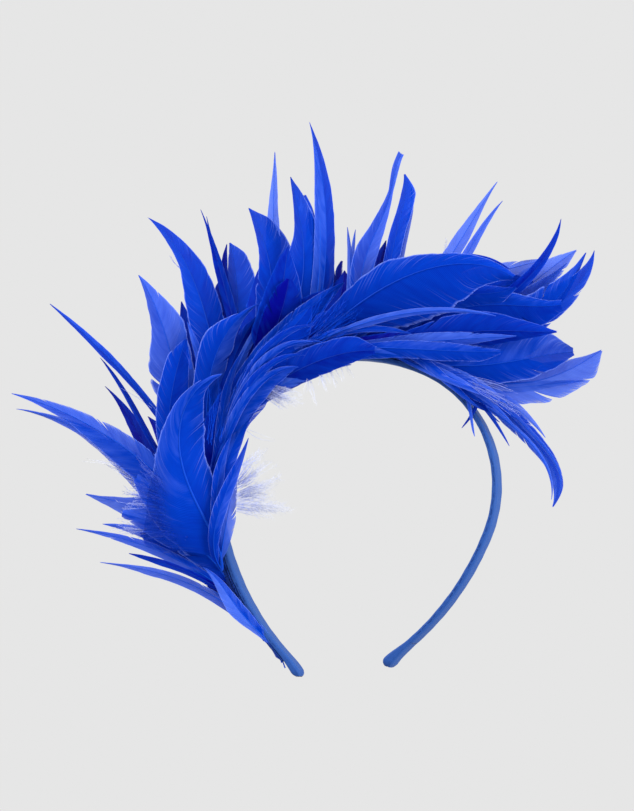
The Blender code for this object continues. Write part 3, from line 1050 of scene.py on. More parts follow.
# The fan at the left, from its upper edge down to the leg's end.
LEFT_FAN = (
    Feather("left_long", -105, ((-93, -17, 0), (-110, 2, 2), (-134, 24, 2)),
            (1.5, 1.5, 1.3, 1.8, 0.8), (1.5, 1.6, 1.6, 2.2, 1.1), roll=20, tears=0, split=-0.5),
    Feather("left_fork", -107, ((-95, -27, -3), (-104, -11, 0), (-113, 1.5, 1)),
            (1.3, 1.3, 1.3, 1.3, 0.8), (1.3, 1.3, 1.2, 1.3, 0.7), Tone.SHADE, roll=-10, tears=1),
    paired("left_dark", -110, ((-95, -34, -8), (-103, -20, -10), (-111, -10.5, -12)),
           (2, 3, 4, 3, 0.9), Tone.NAVY, roll=-20, tears=1),
    Feather("left_great", -112, ((-95, -42, 4), (-112, -30, 5), (-130, -20.5, 5), (-150, -13.5, 4)),
            (4, 8.5, 7.5, 3.5, 1.0), (3, 6, 5.5, 3.6, 1.3), Tone.MISTY, roll=12, tears=4),
    Feather("left_second", -116, ((-92, -50, 0), (-110, -35.5, -3), (-128, -25.5, -5), (-148, -20, -6)),
            (4, 8, 5.5, 2.2, 0.8), (3, 6, 5, 2.2, 0.7), Tone.MISTY, roll=-10, tears=6),
    Feather("left_middle", -126, ((-85, -66, -2), (-103, -59.5, -4), (-119, -55.5, -6)),
            (3, 6, 7.5, 5.5, 2), (5, 9, 9, 3.2, 0.6), Tone.PALE, roll=-10),
    Feather("left_under", -130, ((-85, -75, 2), (-98, -70.5, 0), (-112, -68, -3)),
            (2, 3, 3, 2.2, 1), (3, 5, 4, 2.2, 0.8), Tone.MISTY, tears=6),
    paired("left_low", -145, ((-85, -81, 7), (-104, -74, 7), (-123, -70, 6)),
           (1.5, 2.2, 2.4, 1.8, 0.6), Tone.MISTY, roll=15),
    Feather("left_barb", -147, ((-78, -87.5, 10), (-90, -83.3, 11), (-101, -80.3, 12)),
            (1, 1.2, 1.3, 1.6, 0.8), (1, 1.2, 1.2, 1.4, 0.8), Tone.SHADE, roll=0, tears=0),
    Feather("leg_long", -163, ((-62, -100.5, 5), (-85, -89.5, 5), (-113, -84, 6)),
            (2, 2.4, 2.2, 2.2, 0.6), (2, 2.2, 2.0, 1.6, 0.4), Tone.PALE, tears=1),
    Feather("leg_fold", -181, ((-44.6, -115.2, 4), (-54.4, -104.6, 7), (-61, -95.5, 9), (-70, -86, 9)),
            (1, 1, 1.3, 2.2, 3.6, 4.4, 3.6, 2.4, 1.2), (1.4, 1.6, 2, 2.6, 3, 2.8, 2.4, 1.8, 1.0),
            Tone.PALE, tears=0, split=0.7),
    Feather("leg_end", -178, ((-40, -120, 3), (-45, -112.5, 4), (-49, -106, 4)),
            (1.4, 1.4, 1.4, 1.2, 0.6), (1.4, 1.6, 1.4, 1.2, 0.6), Tone.MISTY, roll=0, tears=0),
)

# In front at the left and over the brow, with the greatest feather.
FRONT_SPRAY = (
    Feather("front_great", -132, ((-70, -64.5, 18), (-78.5, -44, 22), (-79, -24, 23), (-62, -5.5, 24)),
            (20, 27, 27, 21, 14, 9.5, 6.5, 4, 2), (1.5, 4, 7.5, 11, 11, 10, 10.5, 8, 3), Tone.BRIGHT,
            roll=5, curl=0.14, soft=(0.95, 0.0), stem=1.7),
    Feather("front_fluff", -134, ((-74, -67, 8), (-86, -57, 12), (-98, -48.5, 11)),
            (6, 12, 13, 11, 5), (4, 8, 8, 6, 3), Tone.MISTY, roll=0, tears=5, curl=0.06, blunt=1.5),
    Feather("front_fluff_low", -137, ((-73, -77, 6), (-87, -69, 9), (-104, -63.5, 8)),
            (4, 6.5, 7, 6, 3), (6, 10, 11, 8, 3), Tone.MISTY, roll=0, tears=5, curl=0.06, blunt=1.5),
    Feather("front_spike", -132, ((-65, -70, 18), (-60, -54, 19), (-51, -32, 20)),
            (1.5, 2.5, 3, 2.2, 0.8), (1.5, 2.5, 3, 2.4, 0.9), Tone.BRIGHT, roll=0),
    Feather("front_small", -128, ((-64.5, -62, 17), (-63, -46, 18), (-58, -31, 18)),
            (1, 2, 2.4, 2.4, 1.2), (1, 2, 2.6, 2.4, 1.0), Tone.BRIGHT),
    Feather("inner_pale", -130, ((-61, -72, 12), (-58.5, -58, 12), (-57, -42, 12)),
            (2, 3, 4, 4, 1.6), (1.5, 3, 3.6, 2.4, 1.0), Tone.THIN, roll=-10, tears=6),
    Feather("inner_vane", -118, ((-61, -45, 14), (-56, -32, 14), (-47.5, -19.5, 14)),
            (3, 4, 4, 3.5, 1.5), (3, 4, 4, 3.5, 1.2), Tone.BRIGHT, roll=-10),
    Feather("round_left", -105, ((-84, -28, 12), (-82, -8, 13), (-77, 9.5, 12)),
            (3, 5, 5.5, 6, 5), (3, 6, 8, 7.5, 4), roll=8, tears=1, curl=0.28),
    Feather("pale_left", -90, ((-80, -10, 1), (-86, 12, 3), (-97, 36, 0)),
            (4, 9, 13, 6, 2.2), (4, 7, 8, 9, 2.8), Tone.MISTY, roll=-10, tears=1, split=-0.3),
    Feather("brow_broad", -85, ((-68, -14, 9), (-64, 4, 9), (-47, 24, 6)),
            (3, 6, 7, 8, 1.2), (3, 6, 6, 5.5, 1.5), Tone.BRIGHT, tears=1, curl=0.3),
    Feather("brow_slender", -75, ((-58, -8, 7), (-50, 9, 6), (-42, 24.5, 3)),
            (1.5, 2, 1.6, 1.4, 0.8), (1.5, 2, 2.0, 1.6, 0.8), Tone.PALE, roll=15, tears=1),
    paired("brow_small", -88, ((-69, -5, 8), (-72, 4, 9), (-76.5, 16.5, 7)),
           (2.8, 1), Tone.MISTY, roll=0, tears=4),
    paired("brow_shade", -80, ((-60, -8, 5), (-55, 6, 3), (-47, 19, 1)),
           (3, 4, 4, 4, 2), Tone.SHADE, tears=4),
    Feather("fern_great", -98, ((-60, -30, 15), (-53, -12, 17), (-40, 6, 17), (-24.6, 23.6, 15)),
            (1.5, 2, 4, 4.5, 3), (2, 6, 11, 12, 7), roll=-8, tears=9),
    Feather("fern_low", -100, ((-57, -27, 15), (-47, -12, 16), (-30, -2, 14)),
            (2, 3, 4, 4, 2.5), (2, 3.5, 5, 5, 3), Tone.BRIGHT, roll=-6, tears=6),
    Feather("fern_slender", -100, ((-63, -32, 14), (-60.5, -15, 14), (-53, 4.7, 15)),
            (1.5, 2, 2.3, 2, 1), (1.5, 2.5, 2.3, 1.8, 1), Tone.BRIGHT, roll=8),
    Feather("frond_high", -99, ((-60, -28, 17), (-50, -5, 19), (-40, 8, 19), (-23, 15, 18)),
            (1, 1.5, 2, 2.4, 1.4), (1, 1.5, 2, 2.2, 1), roll=5, tears=1, curl=0.3),
    Feather("frond_upper", -99, ((-60, -29, 17), (-51, -9, 19.5), (-41, 3, 19.5), (-24, 8, 18)),
            (1, 1.5, 2.2, 2.4, 1.2), (1, 1.5, 2, 2, 1), Tone.BRIGHT, roll=5, tears=1, curl=0.3),
    Feather("frond_middle", -100, ((-60, -30, 17), (-52, -13, 20), (-43, -2.5, 20), (-27, 2.5, 18)),
            (1, 1.5, 2.2, 2.4, 1.2), (1, 1.5, 2, 1.8, 0.8), roll=5, curl=0.3),
    Feather("frond_lower", -100, ((-60, -31, 17), (-53, -17, 20), (-45, -8, 19), (-30, -2.5, 17)),
            (1, 1.5, 2.2, 2.2, 1.2), (1, 1.5, 2, 1.6, 0.7), Tone.BRIGHT, roll=5, curl=0.3),
)

# Upright over the crown, from left to right.
UPRIGHTS = (
    Feather("up_left", -64, ((-67, 12, -4), (-74, 34, -6), (-83, 50, -8), (-93, 60, -10)),
            (5, 8, 7.5, 3.2, 1.3), (5, 7, 8, 6.5, 2.4), roll=12, tears=1),
    Feather("up_thin", -58, ((-58, 20, -10), (-64, 42, -15), (-67.5, 54, -18), (-71, 63.5, -20)),
            (2.6, 0.5), (2.4, 0.5), Tone.SHADE, roll=20, tears=0),
    Feather("up_thin_second", -56, ((-57, 18, -11), (-64, 42, -16), (-68.5, 60.5, -20)),
            (2.2, 0.5), (2.2, 0.4), Tone.SHADE, tears=0),
    Feather("up_dark", -55, ((-55, 15, -13), (-56, 32, -18), (-59, 49.5, -24)),
            (3, 5, 6, 5, 2.5), (4, 7, 9, 9, 6), roll=-20, tears=1),
    paired("up_fold", -56, ((-59, 20, -11), (-61, 36, -16), (-60, 49, -22)),
           (2.4, 1.2), Tone.NAVY, roll=20, tears=0),
    Feather("up_broad", -46, ((-41, 15, -4), (-41.5, 36, -7), (-45, 51, -10), (-51, 64, -12)),
            (6, 8, 7, 3.5, 1.4), (8, 12, 13, 11.5, 7), tears=1, split=-0.2),
    Feather("up_pale", -46, ((-40, 30, -10), (-40.5, 52, -14), (-40.5, 70, -20), (-40, 87.5, -24)),
            (3, 4, 4, 3, 0.7), (3, 4, 3.5, 2.3, 1.2), Tone.THIN, roll=-20, tears=1),
    Feather("up_second", -37, ((-30, 25, -4), (-28, 48, -6), (-30, 62, -7), (-33.5, 77, -8)),
            (7, 10, 9, 3.6, 1.0), (7, 10.5, 11, 7, 3.4), roll=-8, tears=1, split=-0.25),
    # up_hollow and up_hollow_deep are dark leaves that paint the shade in the hollow there.
    Feather("up_hollow", -48, ((-39, 18, 6), (-36.5, 33, 6.5), (-34.5, 48, 5)),
            (5, 9.5, 9, 6.5, 3), (5, 9.5, 11, 8, 3), Tone.SHADE, roll=5, tears=0, curl=0.1),
    Feather("up_hollow_deep", -50, ((-39, 15, 7), (-36, 25, 8), (-34, 34.5, 7.5)),
            (4, 6.5, 7.5, 7.5, 5), (5, 9, 9, 8.5, 6), Tone.NAVY, roll=5, tears=4, curl=0.1, blunt=1.0),
    Feather("up_second_lobe", -35, ((-25, 40, -7), (-24.5, 56, -8), (-27.6, 69.6, -9)),
            (2, 3, 3, 3, 1.6), (2, 3, 3, 3, 1.8), tears=1, curl=0.3, blunt=0.6),
    Feather("up_tall", -28, ((-20, 30, -8), (-18.5, 55, -10), (-20.5, 78, -13), (-25.5, 100, -16)),
            (3, 4.5, 4.5, 3.6, 0.7), (3, 4.4, 3.8, 3.6, 1.8), Tone.BRIGHT, roll=20, tears=0, split=0.6),
    Feather("up_tall_pale", -30, ((-22, 30, -7), (-21, 55, -9), (-22, 76, -12), (-24.2, 94, -15)),
            (2, 3, 2.6, 2.2, 0.7), (2, 2.6, 1.6, 1.0, 0.4), Tone.PALE, roll=20, tears=1),
    Feather("up_forked", -14, ((-9, 25, -11), (-8.5, 42, -14), (-9.7, 56, -18)),
            (1.5, 1.6, 1.5, 1.3, 0.8), (1.5, 1.6, 1.5, 1.3, 0.5), Tone.PALE, roll=0, tears=0),
    paired("up_forked_second", -12, ((-8, 25, -12), (-7.6, 42, -15), (-6.3, 55, -18)),
           (1.2, 0.7), Tone.PALE, roll=0, tears=0),
    Feather("up_twisted", -8,
            ((-4, 30, -8), (0.5, 50, -10), (7.5, 67, -14), (9.8, 77, -16), (13, 87, -18)),
            (2, 3, 4.5, 5, 5, 3.5, 2.4, 1.2, 1.8), (2, 3, 4.5, 5, 5, 3.5, 2.2, 1.1, 1.5), Tone.MISTY,
            roll=30, tears=1, curl=0.2, blunt=1.4, split=-0.3),
    Feather("up_folded", -4, ((6, 25, -12), (9.5, 48, -15), (13.5, 64, -22), (14, 78.3, -28)),
            (2, 3.5, 3.3, 3.2, 2.2), (2, 3.5, 3.5, 3.6, 4.4), roll=-24, tears=0, curl=0.4),
    paired("up_fold_strip", -2, ((10, 25, -14), (14, 50, -20), (17, 64, -26), (16.5, 74, -29)),
           (1.5, 0.8), Tone.THIN, roll=-20, tears=0),
    Feather("up_navy", -4, ((0, 25, -16), (3, 38, -18), (6.5, 50.5, -20)),
            (3, 4, 4, 3.5, 1.8), (3, 3.5, 3.5, 3, 1.5), Tone.NAVY),
    paired("up_teal", -20, ((-14, 20, -12), (-14.5, 32, -14), (-12, 42, -16)),
           (3, 4, 4, 4, 2), Tone.NAVY, roll=-40, tears=6, blunt=0.5),
    Feather("up_right", 4, ((24, 30, -8), (36, 48, -11), (44.5, 62, -14), (53, 75, -16)),
            (2, 3, 3.6, 3, 0.9), (2, 3, 3.6, 3, 0.8), Tone.THIN, roll=20),
    paired("up_right_low", 8, ((30, 28, -14), (41, 46, -20), (47, 56, -24), (55.2, 67, -28)),
           (2, 2.5, 2.2, 2, 0.9), Tone.PALE, roll=-15, tears=0),
)

# Laid over the crown and swept to the right.
CROWN_SWEEP = (
    Feather("sweep_great", -32, ((-12, 18.5, 7), (6, 31, 11), (34, 40.5, 11), (60, 35, 7)),
            (4, 7, 10, 5.5, 3), (4, 9, 13, 16, 19, 20, 19, 15, 8), roll=0, tears=0, blunt=1.0),
    Feather("sweep_rear", -28, ((-5, 24, -3), (20, 38, -5), (42, 43.5, -6), (58, 38.5, -7)),
            (4, 6, 6, 2.4, 0.8), (4, 6, 8, 8, 3), Tone.SHADE, roll=6, tears=1),
    Feather("sweep_second", -26, ((0, 18, 2), (25, 27, 1), (45, 28, -1), (61, 31, -2)),
            (3, 5, 7, 6, 3), (3, 5, 7, 8, 6), roll=5),
    Feather("sweep_light", -45, ((-10, 13.5, 14), (12, 19.5, 17), (32, 21.3, 19), (52.5, 18.8, 20)),
            (0.5, 0.6, 1.6, 1.5, 0.8), (0.5, 0.7, 1.9, 1.3, 0.6), Tone.PALE, roll=0, tears=0),
    Feather("sweep_short", -60, ((-22, 9.5, 12), (-3, 13, 14), (17, 11.5, 15)),
            (1.5, 1.6, 1.4, 2.2, 1.6), (1.5, 1.6, 1.2, 1.2, 0.7), Tone.BRIGHT, tears=1),
    Feather("sweep_brow", -70, ((-48, 0, 12), (-36, 12, 10), (-24, 23, 7), (-11, 33, 4)),
            (2, 3, 4.5, 4.5, 2), (3, 5, 7, 7, 3), roll=12, tears=3),
    Feather("sweep_frond", -72, ((-45, -2, 15), (-33, 6, 15), (-20, 8, 14)),
            (1.5, 2.4, 3, 2.6, 1.2), (1.5, 2.4, 2.6, 2.2, 1), Tone.BRIGHT, roll=5, tears=3),
    paired("sweep_haze", -50, ((-22, 13, 6), (-8, 21, 5), (8, 27, 3)),
           (3, 5, 6, 5, 3), Tone.SHADE, roll=5, tears=8),
    Feather("sweep_dark", -68, ((-38, -8, 12), (-22, 0, 15), (2, 4.5, 16.5)),
            (3, 5, 6.5, 7, 6), (3, 5, 6, 6, 4), Tone.SHADE, roll=5, curl=0.12, blunt=1.5),
    Feather("sweep_edge", -72, ((-44, -14, 12), (-28, -6, 12), (-8, -1.5, 11)),
            (2, 3, 4, 3.5, 1.6), (2, 3, 3.2, 2.4, 1.0), Tone.PALE, roll=-5, tears=5),
    Feather("crown_cover", -28, ((-5, 3.5, 11), (8, 3, 12), (20, 0.6, 12)),
            (3, 3.2, 3.2, 2.6, 1.2), (3, 3.2, 3, 2.2, 0.8), Tone.BRIGHT, roll=8),
    Feather("crown_front", -20, ((10, 5.5, 13), (30, 4.5, 15), (54.5, 4, 17)),
            (2, 2, 3.6, 3.6, 2), (2, 2, 3.8, 4.6, 4.0), Tone.BRIGHT, roll=8, tears=5, blunt=0.7),
    Feather("crown_ridge", -14, ((20, 9, 8), (45, 12.5, 10), (62, 12.6, 12), (78, 12.2, 12)),
            (3, 3.6, 7.5, 8, 3.5), (2, 3, 4, 6.5, 2.5), Tone.SHADE),
    Feather("crown_blue", 2, ((25, -1, 5), (48, -1.5, 6), (68, 1.5, 5), (85, 4, 5)),
            (3, 3.5, 4, 5.5, 7.5, 10, 12, 12, 8.5), (3, 4, 5, 6.5, 8, 8.5, 8.5, 8, 6), Tone.BRIGHT,
            roll=5, blunt=1.4),
    Feather("crown_haze", -12, ((20, 8, 11), (42, 9.5, 13), (61, 10.5, 13)),
            (2, 3, 3.6, 3, 1.2), (2, 3, 4, 3, 1), Tone.PALE, roll=5, tears=5),
    Feather("crown_top", 4, ((25, 18, -2), (50, 23.5, -3), (66, 23, -5), (80, 23.5, -6)),
            (3, 5, 5.5, 6, 2.8), (3, 5, 7, 8, 8), roll=-8, tears=3, blunt=2.2),
    Feather("crown_pale", 10, ((30, 28, -9), (52, 37, -12), (74, 43, -16)),
            (3, 4, 5, 4, 1.5), (3, 5, 7, 9, 6), Tone.THIN, roll=-12, tears=4),
)

# The fan at the right, its hanging tail, and the short spikes at its foot.
RIGHT_FAN = (
    paired("right_hook", 26, ((48, 20, -8), (65, 34, -7), (75, 47, -10), (79.5, 59.5, -14)),
           (2.8, 1.1), Tone.SHADE, roll=20, tears=0, curl=0.3),
    Feather("right_pale", 22, ((50, 18, -14), (68, 33, -18), (86, 46.5, -22)),
            (2, 4, 6.5, 7, 3), (2, 4, 7, 7, 4), Tone.THIN, roll=-12, tears=3),
    Feather("right_thin", 28, ((52, 14, -12), (68, 28, -14), (82, 41, -18)),
            (2, 3, 4, 4.4, 1), (2, 3, 4, 4, 1.5), Tone.PALE, roll=12),
    Feather("right_bent", 30, ((52, 6, -9), (74, 20, -10), (86, 31, -11), (93.5, 46.3, -12)),
            (2, 5, 8, 7, 2.4), (2, 4, 5, 4, 1.8), roll=14, tears=3),
    Feather("right_bent_tip", 30, ((60, 14, -8), (74, 22, -9), (84, 34, -10), (90, 45.4, -12)),
            (2, 7, 10, 8.5, 2), (2, 3, 3, 2.4, 1), roll=14, tears=1),
    Feather("right_low", 20, ((45, -8, 1), (65, -9, 0), (82, -4, -2), (96.5, 4.7, -3)),
            (3, 5, 7, 7, 2.2), (2, 4, 8, 9.5, 8), Tone.PALE, roll=-8, tears=4),
    Feather("right_low_tooth", 20, ((50, -11, 1), (72, -10, -1), (89.4, -8.2, -3)),
            (1, 2, 2.5, 2.2, 1), (1, 2, 2.5, 2, 0.9), Tone.PALE, roll=-8),
    Feather("shoulder", 10, ((35, -8, 9), (47, -15, 9), (61, -24, 8)),
            (2, 3, 4, 4, 1.5), (2, 3, 3, 3, 1.4), Tone.BRIGHT, roll=8, tears=5),
    paired("shoulder_light", 12, ((38, -9, 11), (49, -16.5, 11), (60, -27, 9)),
           (1.6, 0.6), Tone.PALE, roll=0, tears=3),
    paired("shoulder_thin", 6, ((33, -8, 12), (44, -12.5, 13), (57, -17.5, 12)),
           (1.2, 0.5), Tone.MISTY, roll=0),
    Feather("shoulder_near", 0, ((28, -5, 11), (36, -12, 11), (46, -20, 9)),
            (1, 2, 2.2, 1.8, 0.8), (1, 1.8, 1.8, 1.4, 0.7), Tone.BRIGHT),
    Feather("shoulder_pale", 16, ((42, -8, 8), (50, -12.5, 8), (58, -19, 7)),
            (2.2, 0.8), (2.0, 0.8), Tone.PALE, roll=0, tears=5),
    Feather("tail", 28, ((52, -17, -1), (66, -31, -3), (77, -47, -5), (76, -61, -6)),
            (3, 4.2, 4, 3.4, 2.4), (3, 4.6, 4.2, 3, 2), Tone.BRIGHT, roll=15, tears=3, curl=0.35,
            split=-0.5),
    Feather("tail_patch", 28, ((57, -17, 3), (65.5, -23.5, 4), (73, -32, 3)),
            (1, 2, 2.8, 2.2, 0.8), (0.8, 1.2, 1.4, 1.2, 0.6), Tone.THIN, roll=15, tears=3, curl=0.2),
    paired("tail_streak", 28, ((70, -38, 0.5), (75, -48, -1), (75.5, -58, -3)),
           (1.0, 0.5), Tone.PALE, roll=15, tears=0, curl=0.2),
    paired("tail_light", 28, ((54, -16, 1), (68, -31, -1), (79, -47, -3), (78.5, -56, -4)),
           (1.1, 0.5), Tone.PALE, roll=15, tears=0, curl=0.3),
    paired("base_fill", 36, ((39, -12, 6), (44, -16.5, 6), (49, -21, 5)),
           (3.2, 1.2), Tone.SHADE, roll=0, tears=3),
    paired("spike_dark", 38, ((44, -19, 6), (41.5, -23.5, 6.5), (38, -28, 6.5)),
           (0.9, 0.4), Tone.SHADE, roll=0, tears=0),
    Feather("spike_pale", 38, ((41.5, -20, 7), (42.4, -26, 7), (43.5, -31.5, 7)),
            (0.8, 0.4), (0.8, 0.5), Tone.PALE, roll=0, tears=0),
    paired("spike_right", 38, ((46, -17, 4), (50, -22, 4), (54, -25.5, 4)),
           (1.0, 0.4), Tone.BRIGHT, roll=0, tears=0),
    Feather("spike_low", 38, ((48, -20, 4), (53, -27, 3), (58, -35.5, 3)),
            (0.9, 0.4), (0.8, 0.4), roll=0, tears=0),
)

# Beneath the others, where they leave gaps. The navy and shade-toned ones are dark sheets that paint the
# shade between the feathers above.
UNDER_LAYER = (
    paired("under_low", -132, ((-77, -68, -6), (-95, -57, -9)), (9, 3.5), Tone.SHADE, roll=-10),
    Feather("under_fluff", -128, ((-77, -62, 2), (-87, -56, 3), (-95.5, -52, 3)),
            (9, 5), (8, 4), roll=0, tears=4),
    Feather("under_leg", -142, ((-72, -80, 4), (-84, -76, 4), (-97, -71, 3)),
            (7, 3), (9, 4), roll=0, tears=4),
    paired("under_leg_high", -154, ((-67, -87, -2), (-76, -83, 3), (-84, -79.5, 4)),
           (2.6, 1), Tone.SHADE, roll=0, tears=3),
    Feather("under_leg_low", -160, ((-62, -96, -3), (-69, -91, 0), (-78, -86.5, 2)),
            (3, 1), (3.5, 1), Tone.NAVY, roll=0, tears=1),
    paired("under_left", -115, ((-80, -40, 2), (-93, -23, 0)), (8, 2), Tone.NAVY),
    paired("under_notch", -92, ((-71, -8, -2), (-75, 8, -4), (-79, 25, -6)),
           (6, 2.5), Tone.SHADE, roll=0, tears=1),
    paired("under_spray", -112, ((-71, -24, 6), (-66, 0, 3)), (8, 3.5), Tone.NAVY),
    paired("under_fern", -104, ((-60, -22, 8), (-45, 1, 8)), (8, 3), Tone.SHADE, roll=-10),
    Feather("under_inner", -124, ((-62, -46, 8), (-51, -24, 8)), (6, 2.5), (5, 2), Tone.SHADE, roll=5),
    paired("under_pale", -100, ((-77, -8, -4), (-80, 12, -8)), (9, 3.5), Tone.SHADE, roll=-10),
    paired("under_dark", -80, ((-62, 16, -14), (-61, 38, -22)), (8, 3.5), Tone.NAVY, roll=15),
    paired("under_brow", -60, ((-46, 18, -10), (-45, 42, -17)), (9, 3.5), Tone.SHADE, roll=-15),
    paired("under_gap", -80, ((-50, 5, 0), (-37, 27, -3)), (8, 3), Tone.NAVY),
    paired("under_second", -45, ((-30, 26, -10), (-23, 48, -17)), (9, 3.5), Tone.SHADE, roll=15),
    paired("under_sweep", -55, ((-36, 11, 2), (-17, 30, 0)), (8, 3), Tone.NAVY),
    paired("under_forked", -30, ((-15, 20, -8), (-11, 38, -14)), (9, 3.5), Tone.NAVY, roll=-15),
    paired("under_crown", -40, ((-17, 13, 4), (12, 19, 2)), (8, 3), Tone.SHADE, roll=15),
    paired("under_top", -16, ((2, 24, -8), (10, 40, -15)), (9, 3.5), Tone.NAVY, roll=15),
    paired("under_fold", -5, ((17, 24, -10), (31, 39, -18)), (9, 3.5), Tone.SHADE, roll=-15),
    paired("under_right", 8, ((33, 24, -10), (50, 36, -15)), (8, 3.5), Tone.SHADE, roll=15),
    paired("under_blue", 10, ((29, 9, 1), (54, 14, 2)), (8, 3.5), Tone.NAVY, roll=-10),
    Feather("under_front", -20, ((15, 7, 6), (40, 10, 8)), (6, 3), (5, 2), Tone.NAVY, roll=-10),
    paired("under_bent", 18, ((46, 12, -10), (69, 26, -16)), (8, 3.5), Tone.SHADE),
    paired("under_end", 6, ((40, 27, -6), (56, 31.5, -9), (68, 33, -12)), (7, 4), roll=0),
    paired("under_shoulder", 26, ((50, 3, -6), (74, 10, -11)), (7, 3.5), Tone.SHADE, roll=-10),
)

# A short plain row behind, over the tape.
REAR_LAYER = (
    paired("rear_left", -115, ((-75, -45, -18), (-88, -35, -38)), (7, 2.5), roll=30),
    paired("rear_brow", -88, ((-66, -4, -20), (-68, 8, -42)), (7, 2.5), roll=-30),
    paired("rear_dark", -66, ((-50, 13, -22), (-46, 28, -44)), (7, 2.5), roll=30),
    paired("rear_second", -48, ((-30, 18, -22), (-24, 36, -46)), (7, 2.5), roll=-30),
    paired("rear_top", -22, ((-5, 18, -20), (4, 31, -42)), (7, 2.5), roll=30),
    paired("rear_fold", -2, ((18, 16, -22), (30, 29, -42)), (7, 2.5), roll=-30),
    paired("rear_blue", 16, ((42, 9, -20), (60, 18, -40)), (7, 2.5), roll=25),
    paired("rear_shoulder", 30, ((52, -2, -14), (72, -1, -30)), (6, 2), roll=-25),
)


class Side(IntEnum):
    """A side of a shaft, as the sign of what lies across it there."""

    LEFT = 1
    RIGHT = -1


@dataclass
class Rip:
    """Where the barbs of a vane have parted: its place, its depth as a share, its width in mm."""

    place: float
    depth: float
    wide: float


@dataclass
class Plume:
    """Builds one feather: its shaft and its two vanes of barbs.

    Places along the shaft are shares of its length, and places along a barb are shares of the barb.
    quill_full is how wide both vanes are, together, where the shaft is of plain thickness.
    """

    feather: Feather
    view: ChartView
    band: HeadBand
    tape: QuillTape
    seed: int
    root_spread: float = 3.2
    root_share: float = 0.33
    samples: int = 160
    lit: float = 0.12
    tone_jitter: float = 0.06
    bare: float = 0.03
    bare_wide: float = 0.3
    thinnest: float = 0.08
    first: float = 0.1
    last: float = 0.9
    plain_blade: tuple[float, ...] = (0.5, 0.9, 1.0, 0.8)
    fine_steps: int = 201
    rounding: int = 17
    close_rounding: int = 11
    many_widths: int = 7
    tip_fall: float = 0.6
    barbs_per_mm: float = 1.3
    fewest_barbs: int = 40
    most_barbs: int = 130
    barbs_end: float = 0.995
    barb_points: int = 8
    lean_most: float = 0.3
    lean_least: float = 0.04
    lean_by_width: float = 1.35
    barb_crowding: float = 0.9
    barb_bend: float = 1.25
    rip_places: tuple[float, float] = (0.25, 0.88)
    rip_depths: tuple[float, float] = (0.15, 0.65)
    rip_share: float = 0.14
    rip_least: float = 0.2
    rip_start: float = 0.08
    rip_reach: float = 3.0
    rip_short_reach: float = 1.2
    rip_short: float = 0.15
    rip_apart: float = 1e-4
    ragged: tuple[tuple[float, float], ...] = ((0.03, 2.5), (0.04, 8.0))
    ruffles: tuple[tuple[float, float], ...] = ((1.0, 7.0), (0.5, 17.0))
    ruffle_share: float = 0.05
    ripple_high: float = 0.1
    ripple_apart: float = 2.0
    cup_spread: tuple[float, float] = (0.7, 1.3)
    cup_bend: float = 0.7
    root_shade: float = 0.4
    root_shade_end: tuple[float, float] = (0.08, 0.55)
    least_veil: float = 0.004
    pale_veil: float = 0.1
    pale_from: float = 0.95
    tip_veil: float = 0.02
    tip_thins: tuple[float, float] = (0.5, 1.0)
    melt_along: tuple[float, float] = (0.4, 0.62)
    melt_across: tuple[float, float] = (0.3, 0.9)
    least_fray: float = 0.05
    torn_fray: float = 0.08
    usual_tears: int = 2
    fray_wide: float = 5.0
    soft_fray: float = 0.3
    seed_apart: float = 13.7
    side_apart: float = 5.0
    quill_wide: float = 0.4
    quill_fine: float = 0.06
    quill_taper: float = 0.7
    quill_full: float = 16.0
    quill_range: tuple[float, float] = (0.35, 1.2)
    quill_steps: tuple[tuple[float, float, int], ...] = ((0.0, 0.2, 6), (0.26, 1.0, 18))
    quill_sides: int = 6
    quill_flat: float = 0.8
    quill_proud: float = 0.04
    quill_fray: float = 0.1

    def __post_init__(self) -> None:
        """Works out the shaft and the directions along it."""
        row = self.feather
        self.random = np.random.default_rng(self.seed)
        # One vane is painted lighter than the other, as light and shade across the cupped vanes. The row's
        # split sets how much; where it is 0, lit sets it with a random sign.
        self.half_side_light = row.split / 2 if row.split else float(self.random.choice((-self.lit, self.lit)))
        self.share = np.linspace(0, 1, self.samples)
        self.shaft = self.curve(self.stops())
        self.run = unit(np.gradient(self.shaft, axis=0))
        across = unit(np.cross(self.view.towards, self.run))
        turn = np.radians(row.roll) * self.share[:, None]
        self.across = across * np.cos(turn) + np.cross(self.run, across) * np.sin(turn)
        normal = unit(np.cross(self.across, self.run))
        facing = np.sign(normal @ self.view.towards)
        self.normal = normal * np.where(facing == 0, 1, facing)[:, None]
        self.long = float(np.linalg.norm(np.diff(self.shaft, axis=0), axis=1).sum())

    def stops(self) -> np.ndarray:
        """The points that the shaft runs through.

        Returns:
            The root in the bound ridge, and the spine's points after it.
        """
        row = self.feather
        high = self.tape.top() + float(self.tape.ridge_height(row.seat)) / 2
        forward = float(np.clip(row.spine[0][2] * self.root_share, -self.root_spread, self.root_spread))
        root = self.band.on(row.seat, high, forward)
        return np.stack([root] + [self.view.place(*place) for place in row.spine])

    def curve(self, stops: np.ndarray) -> np.ndarray:
        """The one smooth curve of lowest degree through some points.

        Args:
            stops: the points.

        Returns:
            Its points at even steps.
        """
        gone = np.concatenate([[0.0], np.cumsum(np.linalg.norm(np.diff(stops, axis=0), axis=1))])
        gone = gone / gone[-1]
        weights = np.ones((self.samples, len(stops)))
        for one in range(len(stops)):
            for other in range(len(stops)):
                if other != one:
                    weights[:, one] *= (self.share - gone[other]) / (gone[one] - gone[other])
        return weights @ stops

    def at(self, values: np.ndarray, share: np.ndarray) -> np.ndarray:
        """Values along the shaft, at shares of its length."""
        return np.stack([np.interp(share, self.share, values[:, axis]) for axis in range(3)], axis=-1)

